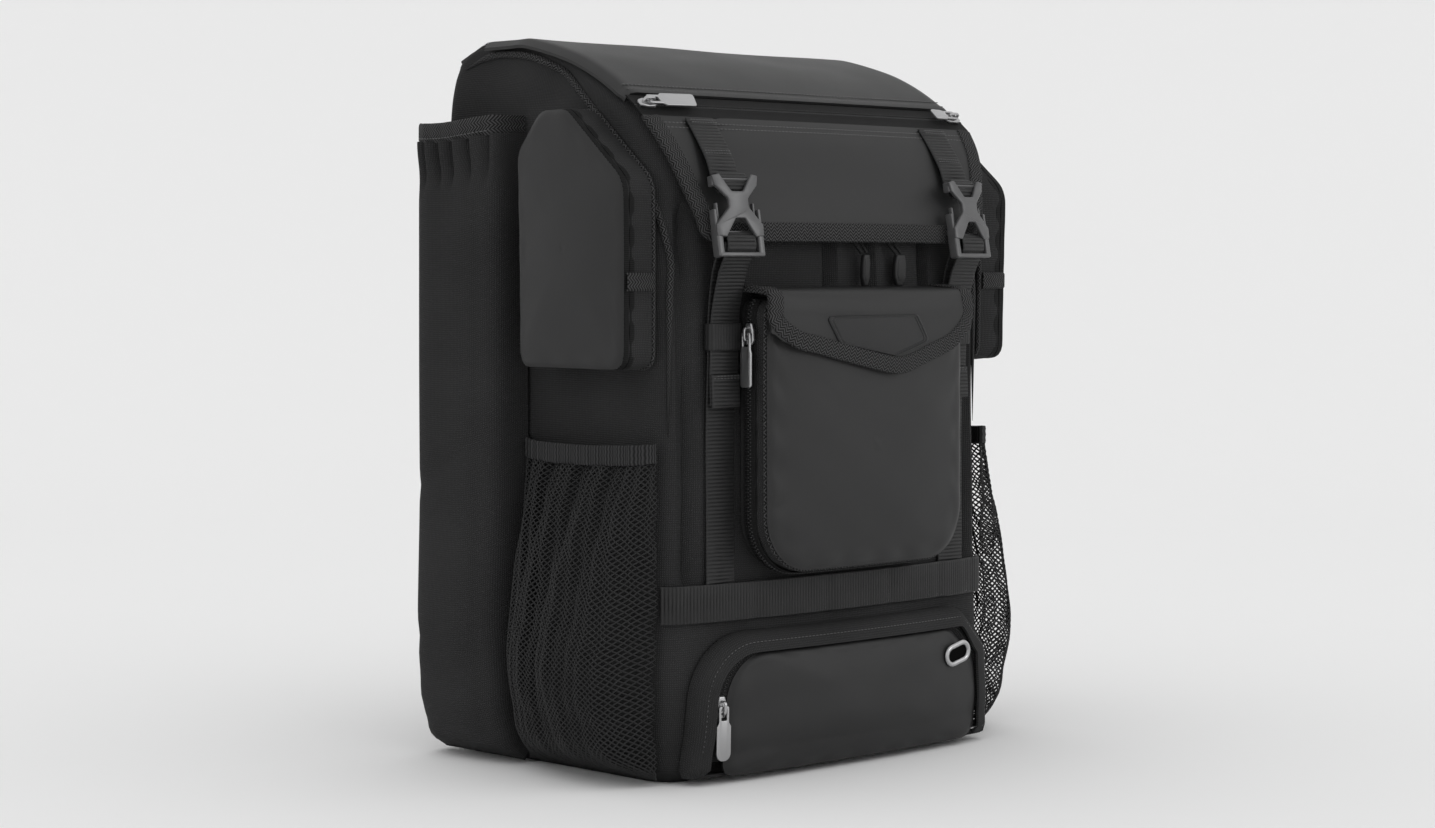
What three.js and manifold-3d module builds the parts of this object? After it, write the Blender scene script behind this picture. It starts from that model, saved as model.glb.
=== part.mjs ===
// A baseball bat backpack that stands on its base: a hollow fabric body with a coated lid and flap, two buckled
// webbing straps, a flapped front pocket, an arched lower pocket, two side pockets, two net pockets, two bat
// sleeves and a harness. Millimetres, +Z up, the front faces -Y, +X is on the right when the front is seen.
import * as THREE from 'three';
import { mergeVertices } from 'three/addons/utils/BufferGeometryUtils.js';
import Module from 'manifold-3d';

const wasm = await Module();
wasm.setup();

// Driving sizes of the body
const bodyWidth = 323;
const bodyDepth = 239;
const bodyHeight = 501;
const bodyWall = 3;
const seamGap = 0.7; // between sewn pieces and the cloth that they lie on
const slopeEase = 0.9; // more room below flat pieces that bridge the bends of the upper front
const clothThickness = 2;
const coatedThickness = 2.2;
const mouthWidth = 236;
const mouthFrontY = -74;
const mouthBackY = 58;

// Webbing
const webbingWidth = 26;
const webbingThickness = 1.6;
const strapCentreX = 116;
const bandWidth = 26;
const bandCentreZ = 120.5;
const keeperHeight = 18;
const keeperWall = 1.3;
const tailLength = 47.3; // of the front strap's tail below its keeper
const bindingWidth = 12;
const bindingThickness = 3.6;

// Lid and flap
const lidHalfWidth = 163;
const lidRearY = 66;
const lidZipZ = bodyHeight * 0.9022; // where the shoulder's slope begins
const zipWidth = 15;
const zipThickness = 1.6;
const flapStandoff = 9;
const flapLength = 89;
const flapBottomZ = lidZipZ - flapLength;
const lidEdgeDrop = 5;

// Pockets on the front
const frontPocketHalfWidth = 95;
const frontPocketBottomZ = 143;
const frontPocketTopZ = flapBottomZ - 41;
const frontPocketDepth = 25;
const frontPocketCorner = 34;
const pocketFlapDrop = 52;
const pocketFlapHalfWidth = 100;
const pocketFlapTipX = 20;
const patchWidth = 90;
const patchHeight = 40;
const lowerPocketHalfWidth = 149;
const lowerPocketBottomZ = 6;
const lowerPocketTopZ = 98;
const lowerPocketDepth = 12;
const lowerFaceInset = 30;
const lowerZipWidth = 10;
const lowerPocketCorner = 46;
const eyeletLength = 27;
const eyeletWidth = 16;
const eyeletRim = 3.6;
const eyeletTiltDeg = 14;

// Pieces on the sides
const sidePocketRearY = -8;
const sidePocketFrontY = -108;
const sidePocketBottomZ = 281;
const sidePocketTopZ = bodyHeight - 52;
const sidePocketDepth = 35;
const netRearY = 14;
const netTopZ = 216;
const netBulge = 50;
const netThickness = 1.4;
const netBindingHeight = 13;
const netColumns = 7;
const sleeveBottomZ = 3;
const sleeveFrontY = 22;
const sleeveTopZ = bodyHeight - 63;
const sleeveDepth = 34;
const sleeveBindingHeight = 12;

// Harness on the back
const backPanelWidth = 236;
const backPanelBottomZ = 52;
const backPanelTopZ = bodyHeight - 65;
const backPanelThickness = 9;
const strapPadWidth = 62;
const strapPadThickness = 10;
const strapPadTopX = 50;
const strapTopZ = bodyHeight - 49;
const adjusterWidth = 36;
const adjusterHeight = 24;
const adjusterThickness = 5;
const haulHalfLength = 58;
const haulRise = 26;

// Hardware
const buckleWidth = 40;
const buckleHeight = 54;
const buckleThickness = 8.4;
const sliderThickness = 3;
const sliderLength = 15;
const pullLength = 37;
const pullWidth = 12;
const pullThickness = 1.8;
const cordDiameter = 2.4;
const cordEndLength = 22;

const colours = {
  fabric: { color: 0x191919, roughness: 0.9, metalness: 0 },
  coated: { color: 0x2a2a2a, roughness: 0.55, metalness: 0 },
  webbing: { color: 0x161616, roughness: 0.8, metalness: 0 },
  net: { color: 0x121212, roughness: 0.85, metalness: 0 },
  padding: { color: 0x1c1c1c, roughness: 0.95, metalness: 0 },
  zip: { color: 0x101010, roughness: 0.6, metalness: 0 },
  plastic: { color: 0x4a4a4c, roughness: 0.45, metalness: 0 },
  metal: { color: 0xa8a8a8, roughness: 0.3, metalness: 1 },
  rubber: { color: 0x0e0e0e, roughness: 0.6, metalness: 0 },
};

const root = new THREE.Group();
const materials = {};
for (const [name, values] of Object.entries(colours)) {
  materials[name] = new THREE.MeshStandardMaterial(values);
}

function addPiece(name, geometry, material, parent = root) {
  const mesh = new THREE.Mesh(geometry, materials[material]);
  mesh.name = name;
  parent.add(mesh);
  return mesh;
}

// The right hand copy is the left one mirrored in the plane x = 0.
function addPair(name, geometry, material) {
  addPiece(`${name}_left`, geometry, material);
  addPiece(`${name}_right`, geometry.clone(), material).scale.x = -1;
}

// Geometry helpers
const vec = (x, y, z) => new THREE.Vector3(x, y, z);
const mix = THREE.MathUtils.lerp;
const radians = THREE.MathUtils.degToRad;

function closedGeometry(points, triangles) {
  const geometry = new THREE.BufferGeometry();
  geometry.setAttribute('position', new THREE.Float32BufferAttribute(points.flatMap((p) => [p.x, p.y, p.z]), 3));
  geometry.setIndex(triangles);
  const flat = geometry.toNonIndexed();
  flat.computeVertexNormals();
  return flat;
}

// Gives a surface a wall. The points lie on its inner face, and each polygon runs anticlockwise seen from outside.
// An edge that only one polygon has gets a side face, so holes between polygons are cut through.
function thicken(inner, polygons, thickness) {
  const count = inner.length;
  const normals = inner.map(() => vec(0, 0, 0));
  const triangles = [];
  for (const polygon of polygons) {
    for (let k = 1; k < polygon.length - 1; k += 1) {
      const corners = [polygon[0], polygon[k], polygon[k + 1]];
      const [a, b, c] = corners.map((i) => inner[i]);
      const normal = b.clone().sub(a).cross(c.clone().sub(a));
      corners.forEach((i) => normals[i].add(normal));
      triangles.push(corners);
    }
  }
  const outer = inner.map((p, i) => p.clone().addScaledVector(normals[i].normalize(), thickness));
  const index = [];
  for (const [a, b, c] of triangles) index.push(a + count, b + count, c + count, a, c, b);
  const edges = new Set();
  for (const polygon of polygons) {
    polygon.forEach((a, k) => edges.add(`${a},${polygon[(k + 1) % polygon.length]}`));
  }
  for (const edge of edges) {
    const [a, b] = edge.split(',').map(Number);
    if (!edges.has(`${b},${a}`)) index.push(a, b, b + count, a, b + count, a + count);
  }
  return closedGeometry([...inner, ...outer], index);
}

// A walled sheet through rows of points. Columns run to the right and rows run up as seen from outside.
// A wrapped sheet closes round, and a pole closes its last row.
function sheet(rows, thickness, { wrap = false, pole = null } = {}) {
  const columns = rows[0].length;
  const points = rows.flat();
  const polygons = [];
  const steps = wrap ? columns : columns - 1;
  for (let j = 0; j < rows.length - 1; j += 1) {
    for (let i = 0; i < steps; i += 1) {
      const next = (i + 1) % columns;
      polygons.push([j * columns + i, j * columns + next, (j + 1) * columns + next, (j + 1) * columns + i]);
    }
  }
  if (pole) {
    const last = (rows.length - 1) * columns;
    points.push(pole);
    for (let i = 0; i < columns; i += 1) polygons.push([last + i, last + ((i + 1) % columns), points.length - 1]);
  }
  return thicken(points, polygons, thickness);
}

// A solid through closed rings that run anticlockwise seen from above, capped at both ends.
function loft(rings) {
  const columns = rings[0].length;
  const points = rings.flat();
  const index = [];
  for (let j = 0; j < rings.length - 1; j += 1) {
    for (let i = 0; i < columns; i += 1) {
      const next = (i + 1) % columns;
      const [a, b, c, d] = [j * columns + i, j * columns + next, (j + 1) * columns + next, (j + 1) * columns + i];
      index.push(a, b, c, a, c, d);
    }
  }
  const last = (rings.length - 1) * columns;
  for (let i = 1; i < columns - 1; i += 1) index.push(0, i + 1, i, last, last + i, last + i + 1);
  return closedGeometry(points, index);
}

function solidOf(geometry) {
  const bare = geometry.index ? geometry.toNonIndexed() : geometry.clone();
  bare.deleteAttribute('normal');
  bare.deleteAttribute('uv');
  const merged = mergeVertices(bare, 1e-3);
  const vertProperties = new Float32Array(merged.attributes.position.array);
  const triVerts = new Uint32Array(merged.index.array);
  return new wasm.Manifold(new wasm.Mesh({ numProp: 3, vertProperties, triVerts }));
}

function geometryOf(solid) {
  const mesh = solid.getMesh();
  const points = [];
  for (let i = 0; i < mesh.numVert; i += 1) points.push(vec(...mesh.vertProperties.slice(3 * i, 3 * i + 3)));
  return closedGeometry(points, [...mesh.triVerts]);
}

const joined = (...parts) => geometryOf(parts.map(solidOf).reduce((a, b) => a.add(b)));
const cut = (part, ...tools) => geometryOf(tools.map(solidOf).reduce((a, b) => a.subtract(b), solidOf(part)));

function block(width, depth, height, x, y, z) {
  return new THREE.BoxGeometry(width, depth, height).translate(x, y, z);
}

// A plate from an outline in the u, v plane with its back face at w = back.
function plate(outline, back, thickness, holes = []) {
  const shape = new THREE.Shape(outline);
  for (const hole of holes) shape.holes.push(new THREE.Path(hole));
  return new THREE.ExtrudeGeometry(shape, { depth: thickness, bevelEnabled: false }).translate(0, 0, back);
}

// An outline with rounded corners, anticlockwise, from corners with x, y and radius r.
function roundedOutline(corners, steps = 4) {
  const outline = [];
  corners.forEach((corner, k) => {
    const before = corners[(k + corners.length - 1) % corners.length];
    const after = corners[(k + 1) % corners.length];
    const here = new THREE.Vector2(corner.x, corner.y);
    if (!corner.r) {
      outline.push(here);
      return;
    }
    const back = new THREE.Vector2(before.x, before.y).sub(here).normalize();
    const ahead = new THREE.Vector2(after.x, after.y).sub(here).normalize();
    const halfAngle = Math.acos(THREE.MathUtils.clamp(back.dot(ahead), -1, 1)) / 2;
    const reach = corner.r / Math.tan(halfAngle);
    const centre = here.clone().addScaledVector(back.clone().add(ahead).normalize(), corner.r / Math.sin(halfAngle));
    const from = here.clone().addScaledVector(back, reach).sub(centre);
    const turn = Math.PI - 2 * halfAngle;
    const sign = Math.sign(-back.cross(ahead)) || 1;
    for (let i = 0; i <= steps; i += 1) {
      outline.push(from.clone().rotateAround(new THREE.Vector2(), (sign * turn * i) / steps).add(centre));
    }
  });
  return outline;
}

// Adds points to an outline so that no side is longer than a step.
function divided(outline, step) {
  return outline.flatMap((p, k) => {
    const next = outline[(k + 1) % outline.length];
    const count = Math.max(1, Math.ceil(p.distanceTo(next) / step));
    return Array.from({ length: count }, (_, i) => p.clone().lerp(next, i / count));
  });
}

function slotOutline(length, width, steps = 6) {
  const reach = (length - width) / 2;
  const ends = [];
  for (const side of [1, -1]) {
    for (let i = 0; i <= steps; i += 1) {
      const angle = Math.PI * (i / steps - 0.5) + (side < 0 ? Math.PI : 0);
      ends.push(new THREE.Vector2(side * reach + (width / 2) * Math.cos(angle), (width / 2) * Math.sin(angle)));
    }
  }
  return ends;
}

// Value of a column of a table, straight between the rows that lie round a share of the key column.
function tableOver(table, key, column, share) {
  const last = table.length - 1;
  if (share <= table[0][key]) return table[0][column];
  if (share >= table[last][key]) return table[last][column];
  const k = table.findIndex((row) => row[key] >= share);
  const [low, high] = [table[k - 1], table[k]];
  return mix(low[column], high[column], (share - low[key]) / (high[key] - low[key]));
}
const tableAt = (table, column, share) => tableOver(table, 'z', column, share);

// The body's level sections, from the base to the top under the lid.
// z is a share of the height, front and back of the depth, half, corner and crown of the width.
const bodySections = [
  { z: 0.0, front: 0.452, back: 0.452, half: 0.468, corner: 0.06, crown: 0.006 },
  { z: 0.012, front: 0.486, back: 0.482, half: 0.488, corner: 0.07, crown: 0.012 },
  { z: 0.044, front: 0.503, back: 0.498, half: 0.503, corner: 0.078, crown: 0.019 },
  { z: 0.12, front: 0.506, back: 0.5, half: 0.507, corner: 0.08, crown: 0.022 },
  { z: 0.26, front: 0.503, back: 0.5, half: 0.502, corner: 0.08, crown: 0.022 },
  { z: 0.52, front: 0.5, back: 0.5, half: 0.5, corner: 0.08, crown: 0.022 },
  { z: 0.72, front: 0.498, back: 0.5, half: 0.502, corner: 0.078, crown: 0.019 },
  { z: 0.79, front: 0.488, back: 0.5, half: 0.504, corner: 0.076, crown: 0.015 },
  { z: 0.836, front: 0.466, back: 0.5, half: 0.505, corner: 0.073, crown: 0.012 },
  { z: 0.87, front: 0.43, back: 0.499, half: 0.505, corner: 0.07, crown: 0.009 },
  { z: 0.904, front: 0.368, back: 0.496, half: 0.504, corner: 0.067, crown: 0.006 },
  { z: 0.936, front: 0.272, back: 0.486, half: 0.502, corner: 0.064, crown: 0.004 },
  { z: 0.966, front: 0.148, back: 0.464, half: 0.498, corner: 0.06, crown: 0.002 },
  { z: 0.987, front: 0.018, back: 0.43, half: 0.493, corner: 0.055, crown: 0 },
  { z: 1.0, front: -0.105, back: 0.35, half: 0.486, corner: 0.045, crown: 0 },
];
const bodySpan = { front: bodyDepth, back: bodyDepth, half: bodyWidth, corner: bodyWidth, crown: bodyWidth };
const body = (column, z) => tableAt(bodySections, column, z / bodyHeight) * bodySpan[column];

function bodyFrontY(x, z) {
  const flat = body('half', z) - body('corner', z);
  return -body('front', z) - body('crown', z) * (1 - (x / flat) ** 2);
}

// Places a point that lies u to the right, v up and w out of the front, the left side or the back of the body.
function onFront(u, v, w) {
  const slope = (bodyFrontY(u, v + 4) - bodyFrontY(u, v - 4)) / 8;
  const length = Math.hypot(1, slope);
  return vec(u, bodyFrontY(u, v) - w / length, v + (w * slope) / length);
}
const rounding = bodySections[2].z * bodyHeight; // of the body's foot, which the low pieces bridge
const onFoot = (u, v, w) => vec(u, bodyFrontY(u, Math.max(v, rounding)) - w, v);
const onLeft = (u, v, w) => vec(-body('half', Math.max(v, rounding)) - w, -u, v);
const onBack = (u, v, w) => vec(-u, bodyDepth / 2 + w, v);

// One level ring of the body, anticlockwise from the front left corner, moved inward by an inset.
function bodyRing(z, inset, ringZ) {
  const front = body('front', z) - inset;
  const back = body('back', z) - inset;
  const half = body('half', z) - inset;
  const corner = Math.max(body('corner', z) - inset, 4);
  const crown = body('crown', z);
  const flat = half - corner;
  const ring = [];
  const arc = (cx, cy, start, steps) => {
    for (let i = 1; i < steps; i += 1) {
      const angle = start + (Math.PI / 2) * (i / steps);
      ring.push(vec(cx + corner * Math.cos(angle), cy + corner * Math.sin(angle), ringZ));
    }
  };
  const side = (x0, y0, x1, y1, steps, bow) => {
    for (let i = 0; i <= steps; i += 1) {
      const t = i / steps;
      ring.push(vec(mix(x0, x1, t), mix(y0, y1, t) - bow * (1 - (2 * t - 1) ** 2), ringZ));
    }
  };
  side(-flat, -front, flat, -front, 6, crown);
  arc(flat, -front + corner, -Math.PI / 2, 3);
  side(half, -front + corner, half, back - corner, 3, 0);
  arc(flat, back - corner, 0, 3);
  side(flat, back, -flat, back, 4, 0);
  arc(-flat, back - corner, Math.PI / 2, 3);
  side(-half, back - corner, -half, -front + corner, 3, 0);
  arc(-flat, -front + corner, Math.PI, 3);
  return ring;
}

// The hollow body, whose mouth lies under the lid.
function mainBody() {
  const mouthZ = bodyHeight * 0.86;
  const heights = bodySections.map((row) => row.z * bodyHeight);
  const outer = loft(heights.map((z) => bodyRing(z, 0, z)));
  const inner = loft(heights.map((z) => bodyRing(z, bodyWall, mix(bodyWall, bodyHeight - bodyWall, z / bodyHeight))));
  const mouth = block(mouthWidth, mouthBackY - mouthFrontY, bodyHeight, 0, (mouthBackY + mouthFrontY) / 2,
    mouthZ + bodyHeight / 2);
  return cut(outer, inner, mouth);
}

// A band of cloth or webbing along a path of points u, v and w on a placed surface.
function strip(path, width, thickness, place, wrap = false) {
  const rows = [[], []];
  path.forEach((p, k) => {
    const before = path[wrap ? (k + path.length - 1) % path.length : Math.max(k - 1, 0)];
    const after = path[wrap ? (k + 1) % path.length : Math.min(k + 1, path.length - 1)];
    const along = new THREE.Vector2(after.x - before.x, after.y - before.y).normalize();
    rows[0].push(place(p.x + (along.y * width) / 2, p.y - (along.x * width) / 2, p.z));
    rows[1].push(place(p.x - (along.y * width) / 2, p.y + (along.x * width) / 2, p.z));
  });
  return sheet(rows, thickness, { wrap });
}

// A ribbon across the path of points in a plane of constant u, such as a strap that folds back on itself.
// The path gives v and w from its lower end, and the thickness goes to the left of its course seen from +u.
function ribbon(path, centre, width, thickness, place) {
  const leftAt = path.map((p, k) => {
    const before = path[Math.max(k - 1, 0)];
    const after = path[Math.min(k + 1, path.length - 1)];
    return new THREE.Vector2(after[0] - before[0], after[1] - before[1]).normalize();
  });
  const rows = path.map(([v, w]) => [place(centre - width / 2, v, w), place(centre + width / 2, v, w)]);
  const outer = path.map(([v, w], k) => {
    const [dv, dw] = [leftAt[k].x, leftAt[k].y];
    return [-1, 1].map((side) => place(centre + (side * width) / 2, v - dw * thickness, w + dv * thickness));
  });
  const count = rows.length;
  const points = [...rows.flat(), ...outer.flat()];
  const at = (layer, k, side) => 2 * (layer * count + k) + side;
  const index = [];
  const quad = (a, b, c, d) => index.push(a, b, c, a, c, d);
  for (let k = 0; k < count - 1; k += 1) {
    quad(at(1, k, 0), at(1, k, 1), at(1, k + 1, 1), at(1, k + 1, 0));
    quad(at(0, k, 1), at(0, k, 0), at(0, k + 1, 0), at(0, k + 1, 1));
    quad(at(0, k, 0), at(1, k, 0), at(1, k + 1, 0), at(0, k + 1, 0));
    quad(at(1, k, 1), at(0, k, 1), at(0, k + 1, 1), at(1, k + 1, 1));
  }
  quad(at(0, 0, 0), at(0, 0, 1), at(1, 0, 1), at(1, 0, 0));
  quad(at(0, count - 1, 1), at(0, count - 1, 0), at(1, count - 1, 0), at(1, count - 1, 1));
  return closedGeometry(points, index);
}

// Rings of a pocket. An outline runs anticlockwise as seen from outside, and a positive grow moves it outward.
function grown(outline, grow) {
  return outline.map((p, k) => {
    const before = outline[(k + outline.length - 1) % outline.length];
    const after = outline[(k + 1) % outline.length];
    const along = after.clone().sub(before).normalize();
    return new THREE.Vector2(p.x + along.y * grow, p.y - along.x * grow);
  });
}
const ringAt = (outline, w, place) => outline.map((p) => place(p.x, p.y, w));

// The band of cloth between the bag and a pocket's face, with a slight belly.
function gusset(outline, depth, place) {
  const rows = [
    ringAt(outline, seamGap, place),
    ringAt(grown(outline, 1.5), depth * 0.5, place),
    ringAt(outline, depth, place),
  ];
  return sheet(rows, clothThickness, { wrap: true });
}

// A pocket's face, which rises by its crown from the edge to the middle.
function face(outline, depth, crown, centre, place) {
  const edge = grown(outline, clothThickness);
  const rows = [1, 0.93, 0.72, 0.4].map((share) => edge.map((p) => {
    const q = p.clone().sub(centre).multiplyScalar(share).add(centre);
    return place(q.x, q.y, depth + seamGap + crown * (1 - share ** 2.4));
  }));
  return sheet(rows, coatedThickness, { wrap: true, pole: place(centre.x, centre.y, depth + seamGap + crown) });
}

// The main body, its lid and the zip below the lid
addPiece('main_body', mainBody(), 'fabric');

const spread = (from, to, count) => Array.from({ length: count }, (_, i) => mix(from, to, i / (count - 1)));
const lidCapFrontY = -body('front', bodyHeight);

// A point of the lid's underside, t from 0 at the zip to 1 at the rear edge.
function lidPoint(x, t, lift) {
  const capShare = 0.62;
  if (t < capShare) {
    return onFront(x, mix(lidZipZ + zipWidth / 2, bodyHeight * 0.992, (t / capShare) ** 0.8), lift);
  }
  return vec(x, mix(lidCapFrontY, lidRearY, (t - capShare) / (1 - capShare)), bodyHeight + lift);
}
const lidColumns = [
  { x: -1, drop: 1 }, { x: -0.975, drop: 0.2 }, { x: -0.9, drop: 0 }, { x: -0.45, drop: 0 }, { x: 0, drop: 0 },
  { x: 0.45, drop: 0 }, { x: 0.9, drop: 0 }, { x: 0.975, drop: 0.2 }, { x: 1, drop: 1 },
];
const lidRows = [0, 0.16, 0.32, 0.48, 0.62, 0.74, 0.86, 1].map((t) => lidColumns.map((column) => {
  const p = lidPoint(column.x * lidHalfWidth, t, seamGap + slopeEase);
  p.z -= column.drop * lidEdgeDrop;
  return p;
}));
addPiece('lid_panel', sheet(lidRows, coatedThickness), 'coated');

const lidZipPath = spread(-lidHalfWidth, lidHalfWidth, 9).map((x) => vec(x, lidZipZ, seamGap + slopeEase));
addPiece('lid_zip', strip(lidZipPath, zipWidth - 4 * seamGap, zipThickness, onFront), 'zip');

// The flap hangs from the zip over the front. Each row gives its height and half width as shares.
const flapTopZ = lidZipZ - zipWidth / 2;
const flapRows = [
  { z: 0.0, half: 0.77 },
  { z: 0.06, half: 0.83 },
  { z: 0.2, half: 0.87 },
  { z: 0.45, half: 0.92 },
  { z: 0.75, half: 0.97 },
  { z: 1.0, half: 1.0 },
];
const flapHalf = (share) => tableAt(flapRows, 'half', share) * lidHalfWidth;
const flapLift = (share) => seamGap + slopeEase + flapStandoff * (1 - share) ** 1.3;
const onFlap = (u, v, w) => onFront(u, v, w + flapLift((v - flapBottomZ) / (flapTopZ - flapBottomZ)));
addPiece('flap_panel', sheet(flapRows.map((row) => {
  const v = mix(flapBottomZ, flapTopZ, row.z);
  return spread(-row.half * lidHalfWidth, row.half * lidHalfWidth, 9).map((x) => onFlap(x, v, 0));
}), coatedThickness), 'coated');

const flapEdge = (side) => [0.97, 0.7, 0.4, 0.2, 0.1].map((share) => vec(
  side * (flapHalf(share) - bindingWidth / 2 - 1), mix(flapBottomZ, flapTopZ, share), coatedThickness + seamGap,
));
const flapBindingBottom = spread(-0.78 * lidHalfWidth, 0.78 * lidHalfWidth, 7)
  .map((x) => vec(x, flapBottomZ + bindingWidth / 2 + 0.5, coatedThickness + seamGap));
const flapBindingPath = [...flapEdge(-1), ...flapBindingBottom, ...flapEdge(1).reverse()];
addPiece('flap_binding', strip(flapBindingPath, bindingWidth, bindingThickness / 3, onFlap), 'webbing');

// Two straps lie on the flap and hold the buckles. Both stand clear of the binding.
const flapStrapLift = coatedThickness + bindingThickness / 3 + 2 * seamGap;
const buckleBottomZ = flapBottomZ - 9;
const buckleTopZ = buckleBottomZ + buckleHeight;
const flapStrapPath = [
  [buckleTopZ - 5, flapStrapLift + 0.6],
  [buckleTopZ + 6, flapStrapLift],
  [mix(buckleTopZ, flapTopZ, 0.6), coatedThickness + seamGap],
  [flapTopZ - 2, coatedThickness + seamGap],
];
addPair('flap_strap', ribbon(flapStrapPath, -strapCentreX, webbingWidth, webbingThickness, onFlap), 'webbing');

// The front straps rise from the band to the buckles and fold back down as tails under a keeper.
const frontStrapBottomZ = bandCentreZ + bandWidth / 2 + seamGap;
const buckleLift = flapStandoff + flapStrapLift + webbingThickness + 1.6;
const foldZ = buckleBottomZ + 3.5;
const keeperZ = foldZ - 58;
const tailEndZ = keeperZ - tailLength;
const keeperFloor = seamGap + keeperWall + 0.5; // of the strap inside the keeper
const keeperDepth = 2 * webbingThickness + 2 * keeperWall + 2.4;
const frontStrapPath = [
  [frontStrapBottomZ, seamGap],
  [mix(frontStrapBottomZ, foldZ, 0.45), seamGap],
  [keeperZ - keeperHeight * 0.7, keeperFloor],
  [keeperZ + keeperHeight * 0.7, keeperFloor],
  [foldZ - 14, buckleLift * 0.42],
  [foldZ, buckleLift * 0.8],
  [foldZ + 2.2, buckleLift + 1.2],
  [foldZ, buckleLift + 4.4],
  [foldZ - 3, buckleLift + 4.6],
  [foldZ - 16, buckleLift * 0.62 + 3.6],
  [keeperZ + keeperHeight * 0.7, keeperFloor + 2 * webbingThickness + 1],
  [keeperZ - keeperHeight * 0.7, keeperFloor + 2 * webbingThickness + 0.6],
  [tailEndZ + 10, 4.6],
  [tailEndZ, 4.4],
];
addPair('front_strap', ribbon(frontStrapPath, -strapCentreX, webbingWidth, webbingThickness, onFront), 'webbing');

// Moves a piece from its own right, up and outward axes to a place on the bag.
function placed(geometry, origin, right, up) {
  const out = right.clone().cross(up).normalize();
  const turn = new THREE.Matrix4().makeBasis(right.clone().normalize(), out.clone().cross(right).normalize(), out);
  return geometry.clone().applyMatrix4(turn.setPosition(origin));
}

// The buckles: a crossed front plate over a frame whose inner bar the front strap folds round.
const loopLift = buckleLift + 0.6;
const buckleLow = onFront(-strapCentreX, foldZ - 2, loopLift);
const buckleHigh = onFlap(-strapCentreX, buckleTopZ, flapStrapLift + webbingThickness + 2);
const buckleUp = buckleHigh.clone().sub(buckleLow).normalize();
const strapAcross = onFront(-strapCentreX + 5, foldZ, 0).sub(onFront(-strapCentreX - 5, foldZ, 0)).normalize();
const buckleHalf = buckleWidth / 2;
const plateBottom = 1.5;
const plateTop = buckleHeight - 4;
const crossOutline = [
  [-1, 0], [-0.6, 0], [-0.24, 0.3], [0.24, 0.3], [0.6, 0], [1, 0], [1, 0.2], [0.46, 0.5], [0.46, 0.62],
  [0.95, 0.84], [0.95, 1], [0.66, 1], [0.26, 0.74], [-0.26, 0.74], [-0.66, 1], [-0.95, 1], [-0.95, 0.84],
  [-0.46, 0.62], [-0.46, 0.5], [-1, 0.2],
].map(([x, y]) => new THREE.Vector2(x * buckleHalf, mix(plateBottom, plateTop, y)));
const buckleInner = webbingWidth / 2 + 0.8;
const railWidth = buckleHalf - buckleInner;
const crossPlate = plate(crossOutline, buckleThickness * 0.64, 2.6);
const topBar = block(2 * buckleInner + 2, 3, 2.8, 0, plateTop - 3, buckleThickness * 0.64 - 0.6);
addPair('buckle_socket', placed(joined(crossPlate, topBar), buckleLow, strapAcross, buckleUp), 'plastic');
const rail = (side) => block(railWidth, buckleHeight * 0.62, buckleThickness * 0.72,
  side * (buckleInner + railWidth / 2), -3.5 + buckleHeight * 0.31, buckleThickness * 0.22);
const innerBar = block(buckleWidth - 2, 3, 1.6, 0, 0.3, 0);
addPair('buckle_prong', placed(joined(rail(-1), rail(1), innerBar), buckleLow, strapAcross, buckleUp), 'plastic');

// The keeper is a loop of webbing round both layers.
const keeperLoop = cut(
  block(webbingWidth + 2 * seamGap + 2 * keeperWall, keeperHeight, keeperDepth, 0, 0, 0),
  block(webbingWidth + 2 * seamGap, keeperHeight * 2, keeperDepth - 2 * keeperWall, 0, 0, 0),
);
const keeperPlace = onFront(-strapCentreX, keeperZ, keeperDepth / 2 + seamGap);
addPair('strap_keeper', placed(keeperLoop, keeperPlace, strapAcross, vec(0, 0, 1)), 'webbing');

// A band of webbing crosses the front below the pocket.
const frontBandPath = spread(-body('half', bandCentreZ) + 24, body('half', bandCentreZ) - 24, 11)
  .map((x) => vec(x, bandCentreZ, seamGap));
addPiece('front_band', strip(frontBandPath, bandWidth, webbingThickness, onFront), 'webbing');

// The front pocket: a zipped band of cloth with a crowned face below a pointed flap.
const frontPocketOutline = divided(roundedOutline([
  { x: -frontPocketHalfWidth, y: frontPocketBottomZ, r: frontPocketCorner },
  { x: frontPocketHalfWidth, y: frontPocketBottomZ, r: frontPocketCorner },
  { x: frontPocketHalfWidth, y: frontPocketTopZ, r: 8 },
  { x: -frontPocketHalfWidth, y: frontPocketTopZ, r: 8 },
], 3), 45);
const frontPocketCentre = new THREE.Vector2(0, mix(frontPocketBottomZ, frontPocketTopZ, 0.45));
const frontPocketCrown = 6;
addPiece('front_pocket_gusset', gusset(frontPocketOutline, frontPocketDepth, onFront), 'fabric');
addPiece('front_pocket_face',
  face(frontPocketOutline, frontPocketDepth, frontPocketCrown, frontPocketCentre, onFront), 'coated');

// A zip round a pocket's band, from one outline point to another.
function pocketZip(outline, depth, place, from, to) {
  const ring = grown(outline, clothThickness + seamGap + 1.5).slice(from, to);
  const rows = [depth * 0.55 - zipWidth / 2, depth * 0.55 + zipWidth / 2 - 3].map((w) => ringAt(ring, w, place));
  return sheet(rows, zipThickness);
}
addPiece('front_pocket_zip',
  pocketZip(frontPocketOutline, frontPocketDepth, onFront, 0, frontPocketOutline.length), 'zip');

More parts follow.
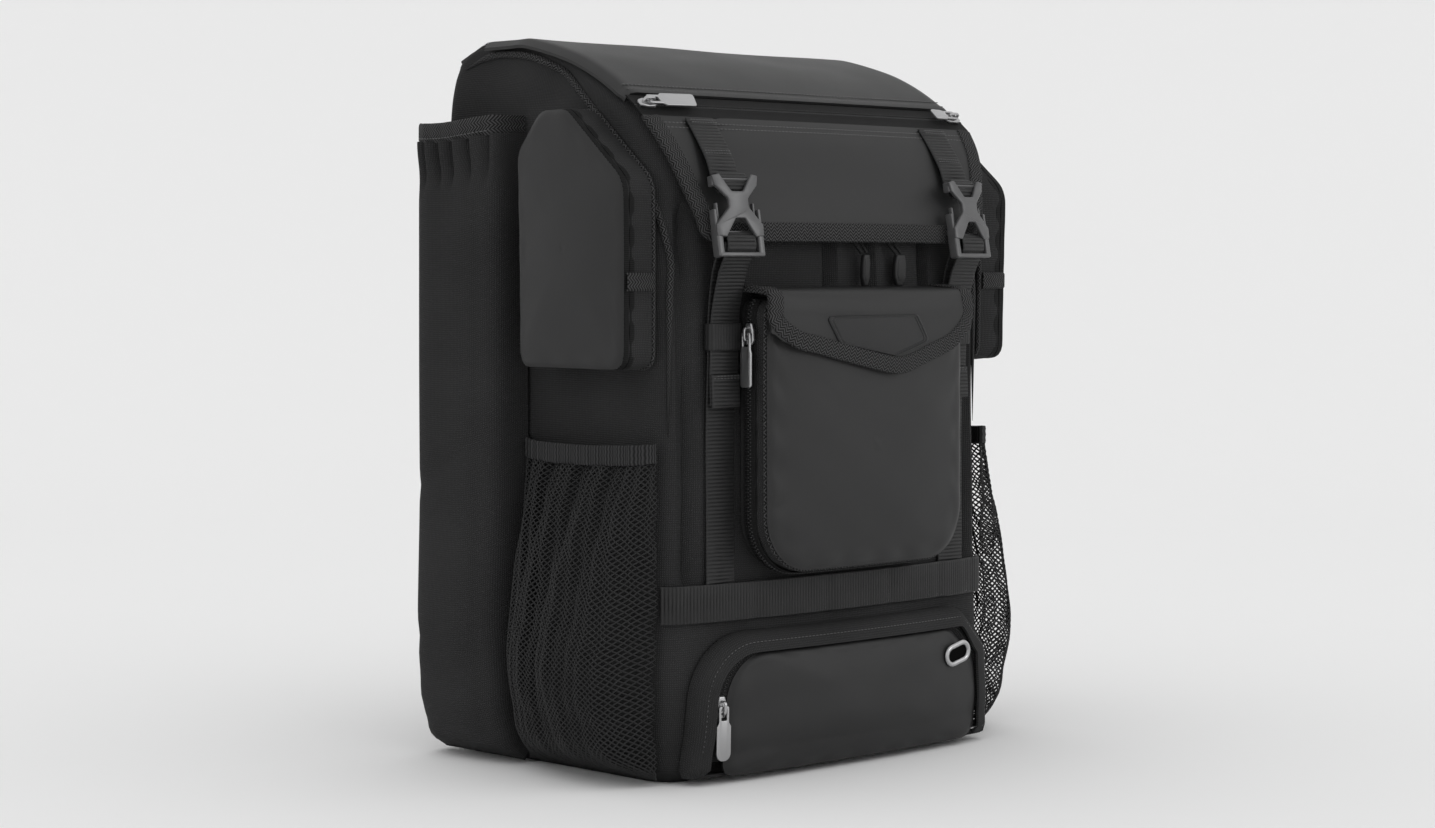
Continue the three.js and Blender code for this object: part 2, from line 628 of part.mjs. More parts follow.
// The pocket's flap starts on the body, bends over the pocket's top and hangs to a point.
const pocketFlapLift = frontPocketDepth + frontPocketCrown + coatedThickness + 2 * seamGap;
const pocketFlapTopZ = frontPocketTopZ + clothThickness + 2 * seamGap;
function pocketFlapDropAt(x) {
  const side = x < pocketFlapTipX ? -1 : 1;
  const reach = Math.abs(x - pocketFlapTipX) / (pocketFlapHalfWidth - side * pocketFlapTipX);
  return pocketFlapDrop * (1 - 0.5 * reach ** 1.1);
}
const onPocketFlap = (u, v, w) => {
  const t = (pocketFlapTopZ - 10 - v) / (pocketFlapTopZ - frontPocketBottomZ);
  const sideFall = 3.5 * Math.abs(u / pocketFlapHalfWidth) ** 2;
  return onFront(u, v, pocketFlapLift - sideFall - 8 * Math.max(t, 0) ** 2 + w);
};
const pocketFlapColumns = spread(-pocketFlapHalfWidth, pocketFlapHalfWidth, 11);
const pocketFlapRows = [1, 0.66, 0.33, 0].map((share) => pocketFlapColumns.map((x) => (
  onPocketFlap(x, pocketFlapTopZ - 4 - share * (pocketFlapDropAt(x) - 4), 0)
)));
pocketFlapRows.push(
  pocketFlapColumns.map((x) => onFront(x, pocketFlapTopZ + 3, pocketFlapLift - 5)),
  pocketFlapColumns.map((x) => onFront(x, pocketFlapTopZ + 4, pocketFlapLift * 0.4)),
  pocketFlapColumns.map((x) => onFront(x, pocketFlapTopZ + 5, seamGap)),
);
addPiece('pocket_flap', sheet(pocketFlapRows, coatedThickness), 'coated');

const pocketFlapEdgeX = pocketFlapHalfWidth - bindingWidth / 2 - 1;
const pocketBindingLift = coatedThickness + seamGap + 0.4;
const pocketFlapBindingPath = [
  vec(-pocketFlapEdgeX, pocketFlapTopZ - 6, pocketBindingLift),
  vec(-pocketFlapEdgeX, pocketFlapTopZ - 16, pocketBindingLift),
  ...spread(-pocketFlapEdgeX, pocketFlapTipX, 5).concat(spread(pocketFlapTipX, pocketFlapEdgeX, 5).slice(1))
    .map((x) => vec(x, pocketFlapTopZ - pocketFlapDropAt(x) + bindingWidth / 2 + 1, pocketBindingLift)),
  vec(pocketFlapEdgeX, pocketFlapTopZ - 16, pocketBindingLift),
  vec(pocketFlapEdgeX, pocketFlapTopZ - 6, pocketBindingLift),
];
addPiece('pocket_flap_binding',
  strip(pocketFlapBindingPath, bindingWidth, bindingThickness / 3, onPocketFlap), 'webbing');

// A blank rubber patch lies on the pocket's flap.
const patchOutline = [
  { x: -0.66, y: -0.22 }, { x: -0.04, y: -0.5 }, { x: 0.34, y: -0.3 }, { x: 0.2, y: 0 }, { x: -0.78, y: 0 },
].map((p) => new THREE.Vector2(pocketFlapTipX + p.x * patchWidth, pocketFlapTopZ - 12 + p.y * patchHeight));
const patchCentre = new THREE.Vector2(pocketFlapTipX - 0.1 * patchWidth, pocketFlapTopZ - 12 - 0.25 * patchHeight);
const patchRows = [divided(patchOutline, 22)]
  .map((outline) => outline.map((p) => onPocketFlap(p.x, p.y, coatedThickness + seamGap)));
addPiece('pocket_patch', sheet(patchRows.concat([patchRows[0].map((p, k, all) => {
  const middle = onPocketFlap(patchCentre.x, patchCentre.y, coatedThickness + seamGap);
  return p.clone().lerp(middle, 0.5);
})]), 0.8, { wrap: true, pole: onPocketFlap(patchCentre.x, patchCentre.y, coatedThickness + seamGap) }), 'rubber');

// The lower pocket: a storm flap round an arched zip, and a crowned face inside it.
const lowerPocketOutline = divided(roundedOutline([
  { x: -lowerPocketHalfWidth, y: lowerPocketBottomZ, r: 4 },
  { x: lowerPocketHalfWidth, y: lowerPocketBottomZ, r: 4 },
  { x: lowerPocketHalfWidth - 3, y: mix(lowerPocketBottomZ, lowerPocketTopZ, 0.7), r: 14 },
  { x: lowerPocketHalfWidth - 32, y: lowerPocketTopZ, r: 16 },
  { x: -lowerPocketHalfWidth + 12, y: lowerPocketTopZ, r: lowerPocketCorner },
], 3), 50);
const lowerFaceOutline = divided(roundedOutline([
  { x: -lowerPocketHalfWidth + lowerFaceInset, y: lowerPocketBottomZ + 5, r: 8 },
  { x: lowerPocketHalfWidth - 18, y: lowerPocketBottomZ + 5, r: 14 },
  { x: lowerPocketHalfWidth - 20, y: mix(lowerPocketBottomZ, lowerPocketTopZ, 0.58), r: 14 },
  { x: lowerPocketHalfWidth - 48, y: lowerPocketTopZ - 15, r: 14 },
  { x: -lowerPocketHalfWidth + lowerFaceInset + 2, y: lowerPocketTopZ - 15, r: lowerPocketCorner - 14 },
], 3), 60);
const lowerPocketCentre = new THREE.Vector2(8, mix(lowerPocketBottomZ, lowerPocketTopZ, 0.45));
const lowerPocketCrown = 6;
const stormFlapWidth = 7.5;
const lowerPocketLip = grown(lowerPocketOutline, -stormFlapWidth).map((p) => (
  p.y < lowerPocketBottomZ + stormFlapWidth + 4 ? new THREE.Vector2(p.x, lowerPocketBottomZ + 0.6) : p
));
addPiece('lower_pocket_gusset', sheet([
  ringAt(lowerPocketOutline, seamGap, onFoot),
  ringAt(lowerPocketOutline, lowerPocketDepth, onFoot),
  ringAt(lowerPocketLip, lowerPocketDepth + 1, onFoot),
], clothThickness, { wrap: true }), 'fabric');
const lowerZipLift = lowerPocketDepth - zipThickness + 0.1;
const lowerZipCut = lowerFaceOutline.findIndex((p) => p.x > 0 && p.y > mix(lowerPocketBottomZ, lowerPocketTopZ, 0.3));
const lowerZipEdge = (grow) => {
  const ring = grown(lowerFaceOutline, grow);
  return ringAt([...ring.slice(lowerZipCut), ring[0]], lowerZipLift, onFoot);
};
addPiece('lower_pocket_zip', sheet([lowerZipEdge(lowerZipWidth), lowerZipEdge(clothThickness + seamGap)], zipThickness), 'zip');
addPiece('lower_pocket_face', face(lowerFaceOutline, lowerPocketDepth - seamGap, lowerPocketCrown,
  lowerPocketCentre, onFoot), 'coated');

// The side pockets, whose outlines are shares of their own width and height. Front is at u = 1.
const sidePocketCorners = [
  { u: 0.0, v: 0.0, r: 6 },
  { u: 0.98, v: 0.0, r: 10 },
  { u: 1.0, v: 0.72, r: 18 },
  { u: 0.5, v: 1.0, r: 14 },
  { u: 0.22, v: 1.0, r: 14 },
  { u: 0.0, v: 0.86, r: 14 },
];
const sidePocketOutline = divided(roundedOutline(sidePocketCorners.map((corner) => ({
  x: mix(-sidePocketRearY, -sidePocketFrontY, corner.u),
  y: mix(sidePocketBottomZ, sidePocketTopZ, corner.v),
  r: corner.r,
})), 2), 60);
const sidePocketCentre = new THREE.Vector2(
  mix(-sidePocketRearY, -sidePocketFrontY, 0.48), mix(sidePocketBottomZ, sidePocketTopZ, 0.46),
);
const sidePocketCrown = 4;
const sidePocketFaceDepth = sidePocketDepth - coatedThickness - sidePocketCrown;
addPair('side_pocket_gusset', gusset(sidePocketOutline, sidePocketFaceDepth, onLeft), 'fabric');
addPair('side_pocket_face',
  face(sidePocketOutline, sidePocketFaceDepth, sidePocketCrown, sidePocketCentre, onLeft), 'coated');

// The net pockets: a coarse net with open cells, from the sleeve round to the front corner.
// t runs from the rear edge to the front one. Out and rise give the belly as shares.
const netPlan = [
  { t: 0.0, u: 0.0, out: 0.02 },
  { t: 0.12, u: 0.03, out: 0.34 },
  { t: 0.28, u: 0.16, out: 0.7 },
  { t: 0.5, u: 0.45, out: 0.95 },
  { t: 0.75, u: 0.76, out: 1.0 },
  { t: 0.9, u: 0.95, out: 0.8 },
  { t: 1.0, u: 1.0, out: 0.0 },
];
const netRise = [
  { z: 0.0, out: -0.05 },
  { z: 0.015, out: 0.44 },
  { z: 0.18, out: 0.92 },
  { z: 0.36, out: 1.0 },
  { z: 0.52, out: 0.92 },
  { z: 0.68, out: 0.74 },
  { z: 0.84, out: 0.5 },
  { z: 1.0, out: 0.28 },
];
const netBottomZ = 4;
const netFrontU = bodyDepth * 0.5 - 12;
function onNet(t, share, lift = 0) {
  const plan = { u: tableOver(netPlan, 't', 'u', t), out: tableOver(netPlan, 't', 'out', t) };
  const rise = tableOver(netRise, 'z', 'out', share);
  const z = mix(netBottomZ, netTopZ, share);
  return onLeft(mix(-netRearY, netFrontU, plan.u), z, seamGap + netBulge * plan.out * rise + lift);
}

// A walled sheet with one hole in each cell of a grid, whose points come from shares along and up.
function netSheet(along, up, bar, thickness, pointAt) {
  const points = [];
  const grid = up.map((b) => along.map((a) => points.push(pointAt(a, b)) - 1));
  const polygons = [];
  for (let j = 0; j < up.length - 1; j += 1) {
    for (let i = 0; i < along.length - 1; i += 1) {
      const corners = [[0, 0], [1, 0], [1, 1], [0, 1]];
      const outer = corners.map(([a, b]) => grid[j + b][i + a]);
      const inner = corners.map(([a, b]) => points.push(pointAt(
        mix(along[i], along[i + 1], mix(bar, 1 - bar, a)),
        mix(up[j], up[j + 1], mix(bar, 1 - bar, b)),
      )) - 1);
      for (let k = 0; k < 4; k += 1) {
        const next = (k + 1) % 4;
        polygons.push([outer[k], outer[next], inner[next], inner[k]]);
      }
    }
  }
  return thicken(points, polygons, thickness);
}
addPair('net_pocket',
  netSheet(spread(0, 1, netColumns + 1), netRise.map((row) => row.z), 0.2, netThickness, onNet), 'net');

const netBindingRows = [netTopZ + seamGap, netTopZ + netBindingHeight]
  .map((z) => netPlan.map((row) => onNet(row.t, 1).setZ(z)));
addPair('net_binding', sheet(netBindingRows, clothThickness), 'webbing');

// The bat sleeves: tall open pockets on the rear of each side, closed at the foot.
const sleevePlan = [
  { u: 0.0, out: -0.15 },
  { u: 0.03, out: 0.5 },
  { u: 0.16, out: 0.9 },
  { u: 0.45, out: 1.0 },
  { u: 0.8, out: 0.92 },
  { u: 0.97, out: 0.62 },
  { u: 1.0, out: 0.0 },
];
const sleeveRise = [
  { z: 0.0, out: -0.08 },
  { z: 0.012, out: 0.36 },
  { z: 0.06, out: 0.78 },
  { z: 0.14, out: 0.95 },
  { z: 0.45, out: 1.0 },
  { z: 0.8, out: 0.96 },
  { z: 1.0, out: 0.9 },
];
const sleeveRearU = -bodyDepth / 2 + 6;
function onSleeve(row, share, lift = 0) {
  const z = mix(sleeveBottomZ, sleeveTopZ, share);
  const out = sleeveDepth * row.out * tableAt(sleeveRise, 'out', share);
  return onLeft(mix(sleeveRearU, -sleeveFrontY, row.u), z, seamGap + 0.4 + out + lift);
}
const sleeveRows = sleeveRise.map((rise) => sleevePlan.map((row) => onSleeve(row, rise.z)));
addPair('bat_sleeve', sheet(sleeveRows, clothThickness), 'fabric');

// The harness on the back: a padded panel, two padded straps with webbing and adjusters, and a haul loop.
const backPanelOutline = divided(roundedOutline([
  { x: -backPanelWidth / 2, y: backPanelBottomZ, r: 30 },
  { x: backPanelWidth / 2, y: backPanelBottomZ, r: 30 },
  { x: backPanelWidth / 2, y: backPanelTopZ, r: 40 },
  { x: -backPanelWidth / 2, y: backPanelTopZ, r: 40 },
], 4), 130);
const backPanelRings = [0, 0, -7, -30].map((grow, k) => {
  const lift = seamGap + backPanelThickness * [0, 0.6, 0.95, 1][k];
  return ringAt(grown(backPanelOutline, grow), lift, onBack);
});
addPiece('back_panel', loft(backPanelRings), 'padding');

// Each strap pad leaves the back below the haul loop, stands off it, and narrows into webbing.
const padPath = [
  { v: 1.0, u: 0.72, w: 0.06 },
  { v: 0.985, u: 0.78, w: 0.36 },
  { v: 0.94, u: 0.88, w: 0.72 },
  { v: 0.84, u: 1.02, w: 1.0 },
  { v: 0.68, u: 1.16, w: 1.0 },
  { v: 0.5, u: 1.24, w: 0.72 },
  { v: 0.34, u: 1.26, w: 0.36 },
];
const padStandoff = 34;
const padBase = backPanelThickness + 3 * seamGap;
const padCentre = (row) => row.u * strapPadTopX;
const padPoint = (row, side, lift) => onBack(
  padCentre(row) + side * strapPadWidth / 2, row.v * strapTopZ, padBase + padStandoff * row.w + lift,
);
const padRings = padPath.map((row) => [
  padPoint(row, -1, strapPadThickness * 0.3),
  padPoint(row, -0.86, 0),
  padPoint(row, 0.86, 0),
  padPoint(row, 1, strapPadThickness * 0.3),
  padPoint(row, 1, strapPadThickness * 0.7),
  padPoint(row, 0.86, strapPadThickness),
  padPoint(row, -0.86, strapPadThickness),
  padPoint(row, -1, strapPadThickness * 0.7),
]);
addPair('shoulder_strap', loft(padRings), 'padding');

const sleeveBindingRows = [sleeveTopZ + seamGap, sleeveTopZ + sleeveBindingHeight]
  .map((z) => sleevePlan.map((row) => onSleeve(row, 1).setZ(z)));
addPair('sleeve_binding', sheet(sleeveBindingRows, clothThickness), 'webbing');

// Webbing runs from the foot of the back through an adjuster to the pad.
const padEnd = padPath[padPath.length - 1];
const padEndZ = padEnd.v * strapTopZ;
const padEndLift = padBase + padStandoff * padEnd.w + strapPadThickness * 0.3;
const adjusterZ = padEndZ - adjusterHeight / 2 - seamGap;
const strapFootU = backPanelWidth * 0.4;
const strapFootZ = backPanelBottomZ + 22;
const footPath = [0, 0.12, 0.4, 0.72, 1].map((t) => vec(
  mix(strapFootU, padCentre(padEnd), Math.min(1, t / 0.72)),
  mix(strapFootZ, adjusterZ - adjusterHeight / 2 - seamGap, t),
  mix(backPanelThickness + 2 * seamGap - 0.2, padEndLift, Math.sin((Math.PI / 2) * t)),
));
addPair('strap_webbing', strip(footPath, webbingWidth * 0.8, webbingThickness, onBack), 'webbing');
const adjusterShape = plate(
  roundedOutline([
    { x: -adjusterWidth / 2, y: -adjusterHeight / 2, r: 4 }, { x: adjusterWidth / 2, y: -adjusterHeight / 2, r: 4 },
    { x: adjusterWidth / 2, y: adjusterHeight / 2, r: 4 }, { x: -adjusterWidth / 2, y: adjusterHeight / 2, r: 4 },
  ]), 0, adjusterThickness,
  [-1, 1].map((side) => slotOutline(adjusterWidth - 12, 5).map((p) => p.clone().add(
    new THREE.Vector2(0, (side * adjusterHeight) / 4.4),
  ))),
);
addPair('strap_adjuster', placed(adjusterShape, onBack(padCentre(padEnd), adjusterZ, padEndLift), vec(-1, 0, 0),
  vec(0, 0, 1)), 'plastic');

const haulCentreZ = bodyHeight - 26;
const haulPath = [
  [-1, 0], [-0.8, 0], [-0.68, 0.3], [-0.42, 0.82], [0, 1], [0.42, 0.82], [0.68, 0.3], [0.8, 0], [1, 0],
].map(([u, w]) => vec(u * haulHalfLength, haulCentreZ, seamGap + slopeEase + 0.3 + haulRise * w));
const onUpperBack = (u, v, w) => vec(-u, body('back', v) + w, v);
addPiece('haul_loop', strip(haulPath, webbingWidth - 4, webbingThickness + 1, onUpperBack), 'webbing');

// Zip sliders with hinged pulls. Each is built along +x with its tape below it and is then placed.
const archOutline = [
  [-5.2, 3.1], [-5.2, 5.2], [-3, 8.4], [3, 8.4], [5.2, 5.2], [5.2, 3.1],
  [3.6, 3.1], [3.6, 4.8], [2, 6.9], [-2, 6.9], [-3.6, 4.8], [-3.6, 3.1],
].reverse().map(([x, y]) => new THREE.Vector2(x, y));
const hingeHeight = 5.2;
const arch = plate(archOutline, -1, 2).rotateX(Math.PI / 2);
const sliderPlate = block(sliderLength, 8, sliderThickness, 0, 0, 0.3 + sliderThickness / 2);
const sliderShape = joined(sliderPlate, arch);
const eyeReach = 8.5;
const eyeHalf = 2.4;
function pullShape(length, width, slant) {
  const outline = [
    [-1.1, -4], [eyeReach, -4.6], [eyeReach + 5, -width / 2], [length, -width / 2],
    [length - slant, width / 2], [eyeReach + 5, width / 2], [eyeReach, 4.6], [-1.1, 4],
  ].map(([x, y]) => new THREE.Vector2(x, y));
  const eye = [[0.9, -eyeHalf], [eyeReach, -eyeHalf], [eyeReach, eyeHalf], [0.9, eyeHalf]]
    .map(([x, y]) => new THREE.Vector2(x, y));
  return plate(outline, hingeHeight - pullThickness / 2, pullThickness, [eye]);
}
function addZipPull(name, origin, course, out, length, width, slant, material = 'metal') {
  const along = course.clone().addScaledVector(out, -course.dot(out)).normalize();
  const up = out.clone().cross(along);
  addPiece(`${name}_slider`, placed(sliderShape, origin, along, up), 'metal');
  addPiece(`${name}_pull`, placed(pullShape(length, width, slant), origin, along, up), material);
}
function normalAt(place, u, v) {
  const across = place(u + 4, v, 0).sub(place(u - 4, v, 0));
  return across.cross(place(u, v + 4, 0).sub(place(u, v - 4, 0))).normalize();
}

const tapeTop = seamGap + slopeEase + zipThickness - 0.6;
const lidPullX = lidHalfWidth - sliderLength / 2 - 3;
addZipPull('lid_left', onFront(-lidPullX, lidZipZ, tapeTop), vec(1, 0, 0), normalAt(onFront, -lidPullX, lidZipZ),
  44, pullWidth, 4);
addZipPull('lid_right', onFront(lidPullX, lidZipZ, tapeTop), vec(-1, 0, 0), normalAt(onFront, lidPullX, lidZipZ),
  24, pullWidth - 2, 0);
const pocketPullZ = frontPocketTopZ - 21;
const frontPocketZipX = -frontPocketHalfWidth - clothThickness - seamGap - 1.5 - zipThickness;
const frontZipLift = frontPocketDepth * 0.55 - 1.5;
addZipPull('front_pocket', onFront(0, pocketPullZ, frontZipLift).setX(frontPocketZipX), vec(0, 0, -1),
  vec(-1, 0, 0), pullLength, pullWidth - 2, 0);
const lowerPullU = -lowerPocketHalfWidth + lowerFaceInset - clothThickness - 6;
addZipPull('lower_pocket', onFoot(lowerPullU, 52, lowerZipLift + zipThickness), vec(0, 0, -1),
  normalAt(onFoot, lowerPullU, 52), pullLength, pullWidth, 0);

const rearPullU = body('half', bodyHeight) - body('corner', bodyHeight) - 6;
const rearPullZ = mix(bodySections[13].z, 1, 0.5) * bodyHeight;
const rearSlope = normalAt(onUpperBack, rearPullU, rearPullZ);
addZipPull('rear', onUpperBack(rearPullU, rearPullZ, 0).addScaledVector(rearSlope, seamGap), vec(0, 1, 0), rearSlope,
  28, pullWidth - 3, 0, 'rubber');

// Two looped pull cords hang below the flap, each with a moulded end.
const cordPoints = [
  { side: 'left', x: 8, endX: 14, z: pocketFlapTopZ + 7 },
  { side: 'right', x: 42, endX: 50, z: pocketFlapTopZ + 7 },
];
const cordGap = 4.4;
for (const cord of cordPoints) {
  const endTopZ = cord.z + cordEndLength;
  const course = [[cord.endX - 2, endTopZ + 0.9, 7.4], [cord.x - 1, flapBottomZ + 2, 4.6], [cord.x, flapBottomZ + 13, 2.1],
    [cord.x + cordGap, flapBottomZ + 13, 2.1], [cord.x + cordGap + 1, flapBottomZ + 2, 4.6],
    [cord.endX + 3.4, endTopZ + 0.9, 7.4]].map(([u, v, w]) => onFront(u, v, w));
  const path = new THREE.CatmullRomCurve3(course, false, 'centripetal');
  const round = new THREE.Shape().absarc(0, 0, cordDiameter / 2, 0, 2 * Math.PI);
  addPiece(`cord_${cord.side}`,
    new THREE.ExtrudeGeometry(round, { extrudePath: path, steps: 14, curveSegments: 6, bevelEnabled: false }), 'webbing');
  const half = cord.side === 'left' ? 3.6 : 5.6;
  const endShape = [
    [-half * 0.5, 0], [half * 0.5, 0], [half, 6], [half, cordEndLength * 0.7], [half * 0.75, cordEndLength],
    [-half * 0.75, cordEndLength], [-half, cordEndLength * 0.7], [-half, 6],
  ].map(([x, y]) => new THREE.Vector2(x, y));
  const top = onFront(cord.endX + 0.7, endTopZ, 7.4);
  const hang = top.clone().sub(onFront(cord.endX + 2, cord.z, 5.6)).normalize();
  addPiece(`cord_end_${cord.side}`,
    placed(plate(endShape, -2, 4), top.clone().addScaledVector(hang, -cordEndLength), vec(1, 0, 0), hang), 'rubber');
}

// An oval eyelet on the lower pocket's face
const eyeletOutline = slotOutline(eyeletLength, eyeletWidth);
const eyeletHole = slotOutline(eyeletLength - 2 * eyeletRim, eyeletWidth - 2 * eyeletRim);
const eyeletX = lowerPocketHalfWidth - 46;
const eyeletZ = lowerPocketTopZ - 30;
const eyeletOrigin = onFoot(eyeletX, eyeletZ, lowerPocketDepth + lowerPocketCrown * 0.68 + coatedThickness + 0.4);
addPiece('oval_eyelet', placed(plate(eyeletOutline, 0, 2, [eyeletHole]), eyeletOrigin,
  vec(Math.cos(radians(eyeletTiltDeg)), 0, Math.sin(radians(eyeletTiltDeg))),
  vec(-Math.sin(radians(eyeletTiltDeg)), 0, Math.cos(radians(eyeletTiltDeg)))), 'metal');

// The base stands on z = 0 and the plan of the whole bag, without its cords, is centred on the origin.
root.updateMatrixWorld(true);
const extent = new THREE.Box3();
for (const mesh of root.children) {
  if (!mesh.name.startsWith('cord_')) extent.expandByObject(mesh, true);
}
root.position.set(0, -(extent.min.y + extent.max.y) / 2, 0);

export default root;
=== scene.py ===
import math

import bpy
import numpy as np
from mathutils import Matrix, Vector
from mathutils.bvhtree import BVHTree


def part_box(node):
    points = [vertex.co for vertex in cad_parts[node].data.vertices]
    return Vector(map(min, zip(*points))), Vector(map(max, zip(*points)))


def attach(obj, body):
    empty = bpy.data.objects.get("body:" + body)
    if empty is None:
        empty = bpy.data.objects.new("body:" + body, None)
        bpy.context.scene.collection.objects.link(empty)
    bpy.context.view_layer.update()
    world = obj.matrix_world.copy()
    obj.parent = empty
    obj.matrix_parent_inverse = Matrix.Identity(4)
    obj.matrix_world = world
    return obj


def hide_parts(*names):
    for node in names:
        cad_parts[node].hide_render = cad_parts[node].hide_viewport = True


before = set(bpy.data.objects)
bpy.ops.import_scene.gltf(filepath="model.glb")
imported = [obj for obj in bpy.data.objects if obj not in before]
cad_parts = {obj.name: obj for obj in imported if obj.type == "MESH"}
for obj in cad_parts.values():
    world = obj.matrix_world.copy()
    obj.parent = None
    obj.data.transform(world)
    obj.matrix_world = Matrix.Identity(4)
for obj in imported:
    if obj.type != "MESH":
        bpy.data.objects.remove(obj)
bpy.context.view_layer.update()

# The camera stands a little above the middle of the bag, in front of its left corner, with a
# short telephoto lens.
camera_data = bpy.data.cameras.new("camera")
camera_data.lens = 73.25
camera_data.sensor_width = 36
camera_data.clip_end = 30
camera = bpy.data.objects.new("camera", camera_data)
camera.location = (-1.47497, -1.53602, 0.34464)
camera.rotation_euler = (math.radians(87.16), 0, math.radians(-43.94))
bpy.context.scene.collection.objects.link(camera)
bpy.context.scene.camera = camera
bpy.context.scene.view_settings.view_transform = "Standard"

# The bag's own surfaces. A level section of the body is a rounded rectangle with a crowned front,
# and every sewn piece lies on the front, the side or the back that these sections make.
# z is a share of the height, front and back of the depth, half, corner and crown of the width.
section_columns = ("z", "front", "back", "half", "corner", "crown")
body_sections = np.array([
    (0.0, 0.452, 0.452, 0.468, 0.06, 0.006),
    (0.012, 0.486, 0.482, 0.488, 0.07, 0.012),
    (0.044, 0.503, 0.498, 0.503, 0.078, 0.019),
    (0.12, 0.506, 0.5, 0.507, 0.08, 0.022),
    (0.26, 0.503, 0.5, 0.502, 0.08, 0.022),
    (0.52, 0.5, 0.5, 0.5, 0.08, 0.022),
    (0.72, 0.498, 0.5, 0.502, 0.078, 0.019),
    (0.79, 0.488, 0.5, 0.504, 0.076, 0.015),
    (0.836, 0.466, 0.5, 0.505, 0.073, 0.012),
    (0.87, 0.43, 0.499, 0.505, 0.07, 0.009),
    (0.904, 0.368, 0.496, 0.504, 0.067, 0.006),
    (0.936, 0.272, 0.486, 0.502, 0.064, 0.004),
    (0.966, 0.148, 0.464, 0.498, 0.06, 0.002),
    (0.987, 0.018, 0.43, 0.493, 0.055, 0.0),
    (1.0, -0.105, 0.35, 0.486, 0.045, 0.0),
])
body_low, body_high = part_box("main_body")
bag_height = body_high.z
bag_width = body_high.x / body_sections[:, 3].max()
bag_depth = (body_high.y - body_low.y - 0.022 * bag_width) / (0.506 + 0.5)
centre_y = body_high.y - 0.5 * bag_depth
foot_rounding = body_sections[2, 0] * bag_height
seam_gap = 0.0007
slope_ease = 0.0009
cloth_thickness = 0.002
coated_thickness = 0.0022


def smooth_table(keys, values, at):
    """Values between the rows of a table, on a smooth curve through all of them."""
    keys, values = np.asarray(keys, float), np.asarray(values, float)
    slopes = np.gradient(values, keys)
    at = np.clip(np.asarray(at, float), keys[0], keys[-1])
    k = np.clip(np.searchsorted(keys, at, side="right") - 1, 0, len(keys) - 2)
    step = keys[k + 1] - keys[k]
    t = (at - keys[k]) / step
    return (
        (2 * t**3 - 3 * t**2 + 1) * values[k] + (t**3 - 2 * t**2 + t) * step * slopes[k]
        + (3 * t**2 - 2 * t**3) * values[k + 1] + (t**3 - t**2) * step * slopes[k + 1]
    )


def body(column, z):
    values = body_sections[:, section_columns.index(column)]
    span = bag_depth if column in ("front", "back") else bag_width
    return smooth_table(body_sections[:, 0], values, np.asarray(z) / bag_height) * span


def xyz(x, y, z):
    return np.stack(np.broadcast_arrays(np.asarray(x, float), y, z), axis=-1)


def front_y(u, v):
    flat = body("half", v) - body("corner", v)
    return centre_y - body("front", v) - body("crown", v) * (1 - (u / flat) ** 2)


def on_front(u, v, w):
    """A point u to the right, v up and w out of the front."""
    u, v, w = (np.asarray(a, float) for a in (u, v, w))
    slope = (front_y(u, v + 0.004) - front_y(u, v - 0.004)) / 0.008
    length = np.hypot(1, slope)
    return xyz(u, front_y(u, v) - w / length, v + w * slope / length)


def on_foot(u, v, w):
    return xyz(u, front_y(np.asarray(u, float), np.maximum(v, foot_rounding)) - w, v)


def on_left(u, v, w):
    return xyz(-body("half", np.maximum(v, foot_rounding)) - w, centre_y - np.asarray(u), v)


def on_back(u, v, w):
    return xyz(-np.asarray(u, float), centre_y + bag_depth / 2 + np.asarray(w), v)


def on_upper_back(u, v, w):
    return xyz(-np.asarray(u, float), centre_y + body("back", v) + w, v)


def unit(v):
    v = np.asarray(v, float)
    return v / np.maximum(np.linalg.norm(v, axis=-1, keepdims=True), 1e-12)


def mix(a, b, t):
    return a + (b - a) * t


def smoothstep(low, high, x):
    t = np.clip((np.asarray(x, float) - low) / (high - low), 0, 1)
    return t * t * (3 - 2 * t)


def curve_through(points, step, closed=False):
    """Evenly spaced points on a smooth curve through a few chosen ones."""
    points = np.asarray(points, float)
    if closed:
        ends = [points[-1:], points, points[:2]]
    else:
        ends = [2 * points[:1] - points[1:2], points, 2 * points[-1:] - points[-2:-1]]
    p = np.concatenate(ends)
    knots = np.concatenate([[0], np.cumsum(np.linalg.norm(np.diff(p, axis=0), axis=1) ** 0.5 + 1e-9)])
    dense = []
    for k in range(1, len(p) - 2):
        t0, t1, t2, t3 = knots[k - 1:k + 3]
        t = np.linspace(t1, t2, 16, endpoint=False)[:, None]
        a1 = (t1 - t) / (t1 - t0) * p[k - 1] + (t - t0) / (t1 - t0) * p[k]
        a2 = (t2 - t) / (t2 - t1) * p[k] + (t - t1) / (t2 - t1) * p[k + 1]
        a3 = (t3 - t) / (t3 - t2) * p[k + 1] + (t - t2) / (t3 - t2) * p[k + 2]
        b1 = (t2 - t) / (t2 - t0) * a1 + (t - t0) / (t2 - t0) * a2
        b2 = (t3 - t) / (t3 - t1) * a2 + (t - t1) / (t3 - t1) * a3
        dense.append((t2 - t) / (t2 - t1) * b1 + (t - t1) / (t2 - t1) * b2)
    dense = np.concatenate(dense + [p[-2:-1]])
    return spaced(dense, step, closed)


def spaced(points, step, closed=False):
    """The same course in equal steps of about the given length."""
    points = np.asarray(points, float)
    if closed and np.linalg.norm(points[0] - points[-1]) > 1e-9:
        points = np.concatenate([points, points[:1]])
    length = np.concatenate([[0], np.cumsum(np.linalg.norm(np.diff(points, axis=0), axis=1))])
    count = max(2, int(round(length[-1] / step)))
    at = np.linspace(0, length[-1], count + 1)
    if closed:
        at = at[:-1]
    return np.stack([np.interp(at, length, points[:, k]) for k in range(points.shape[1])], axis=-1)


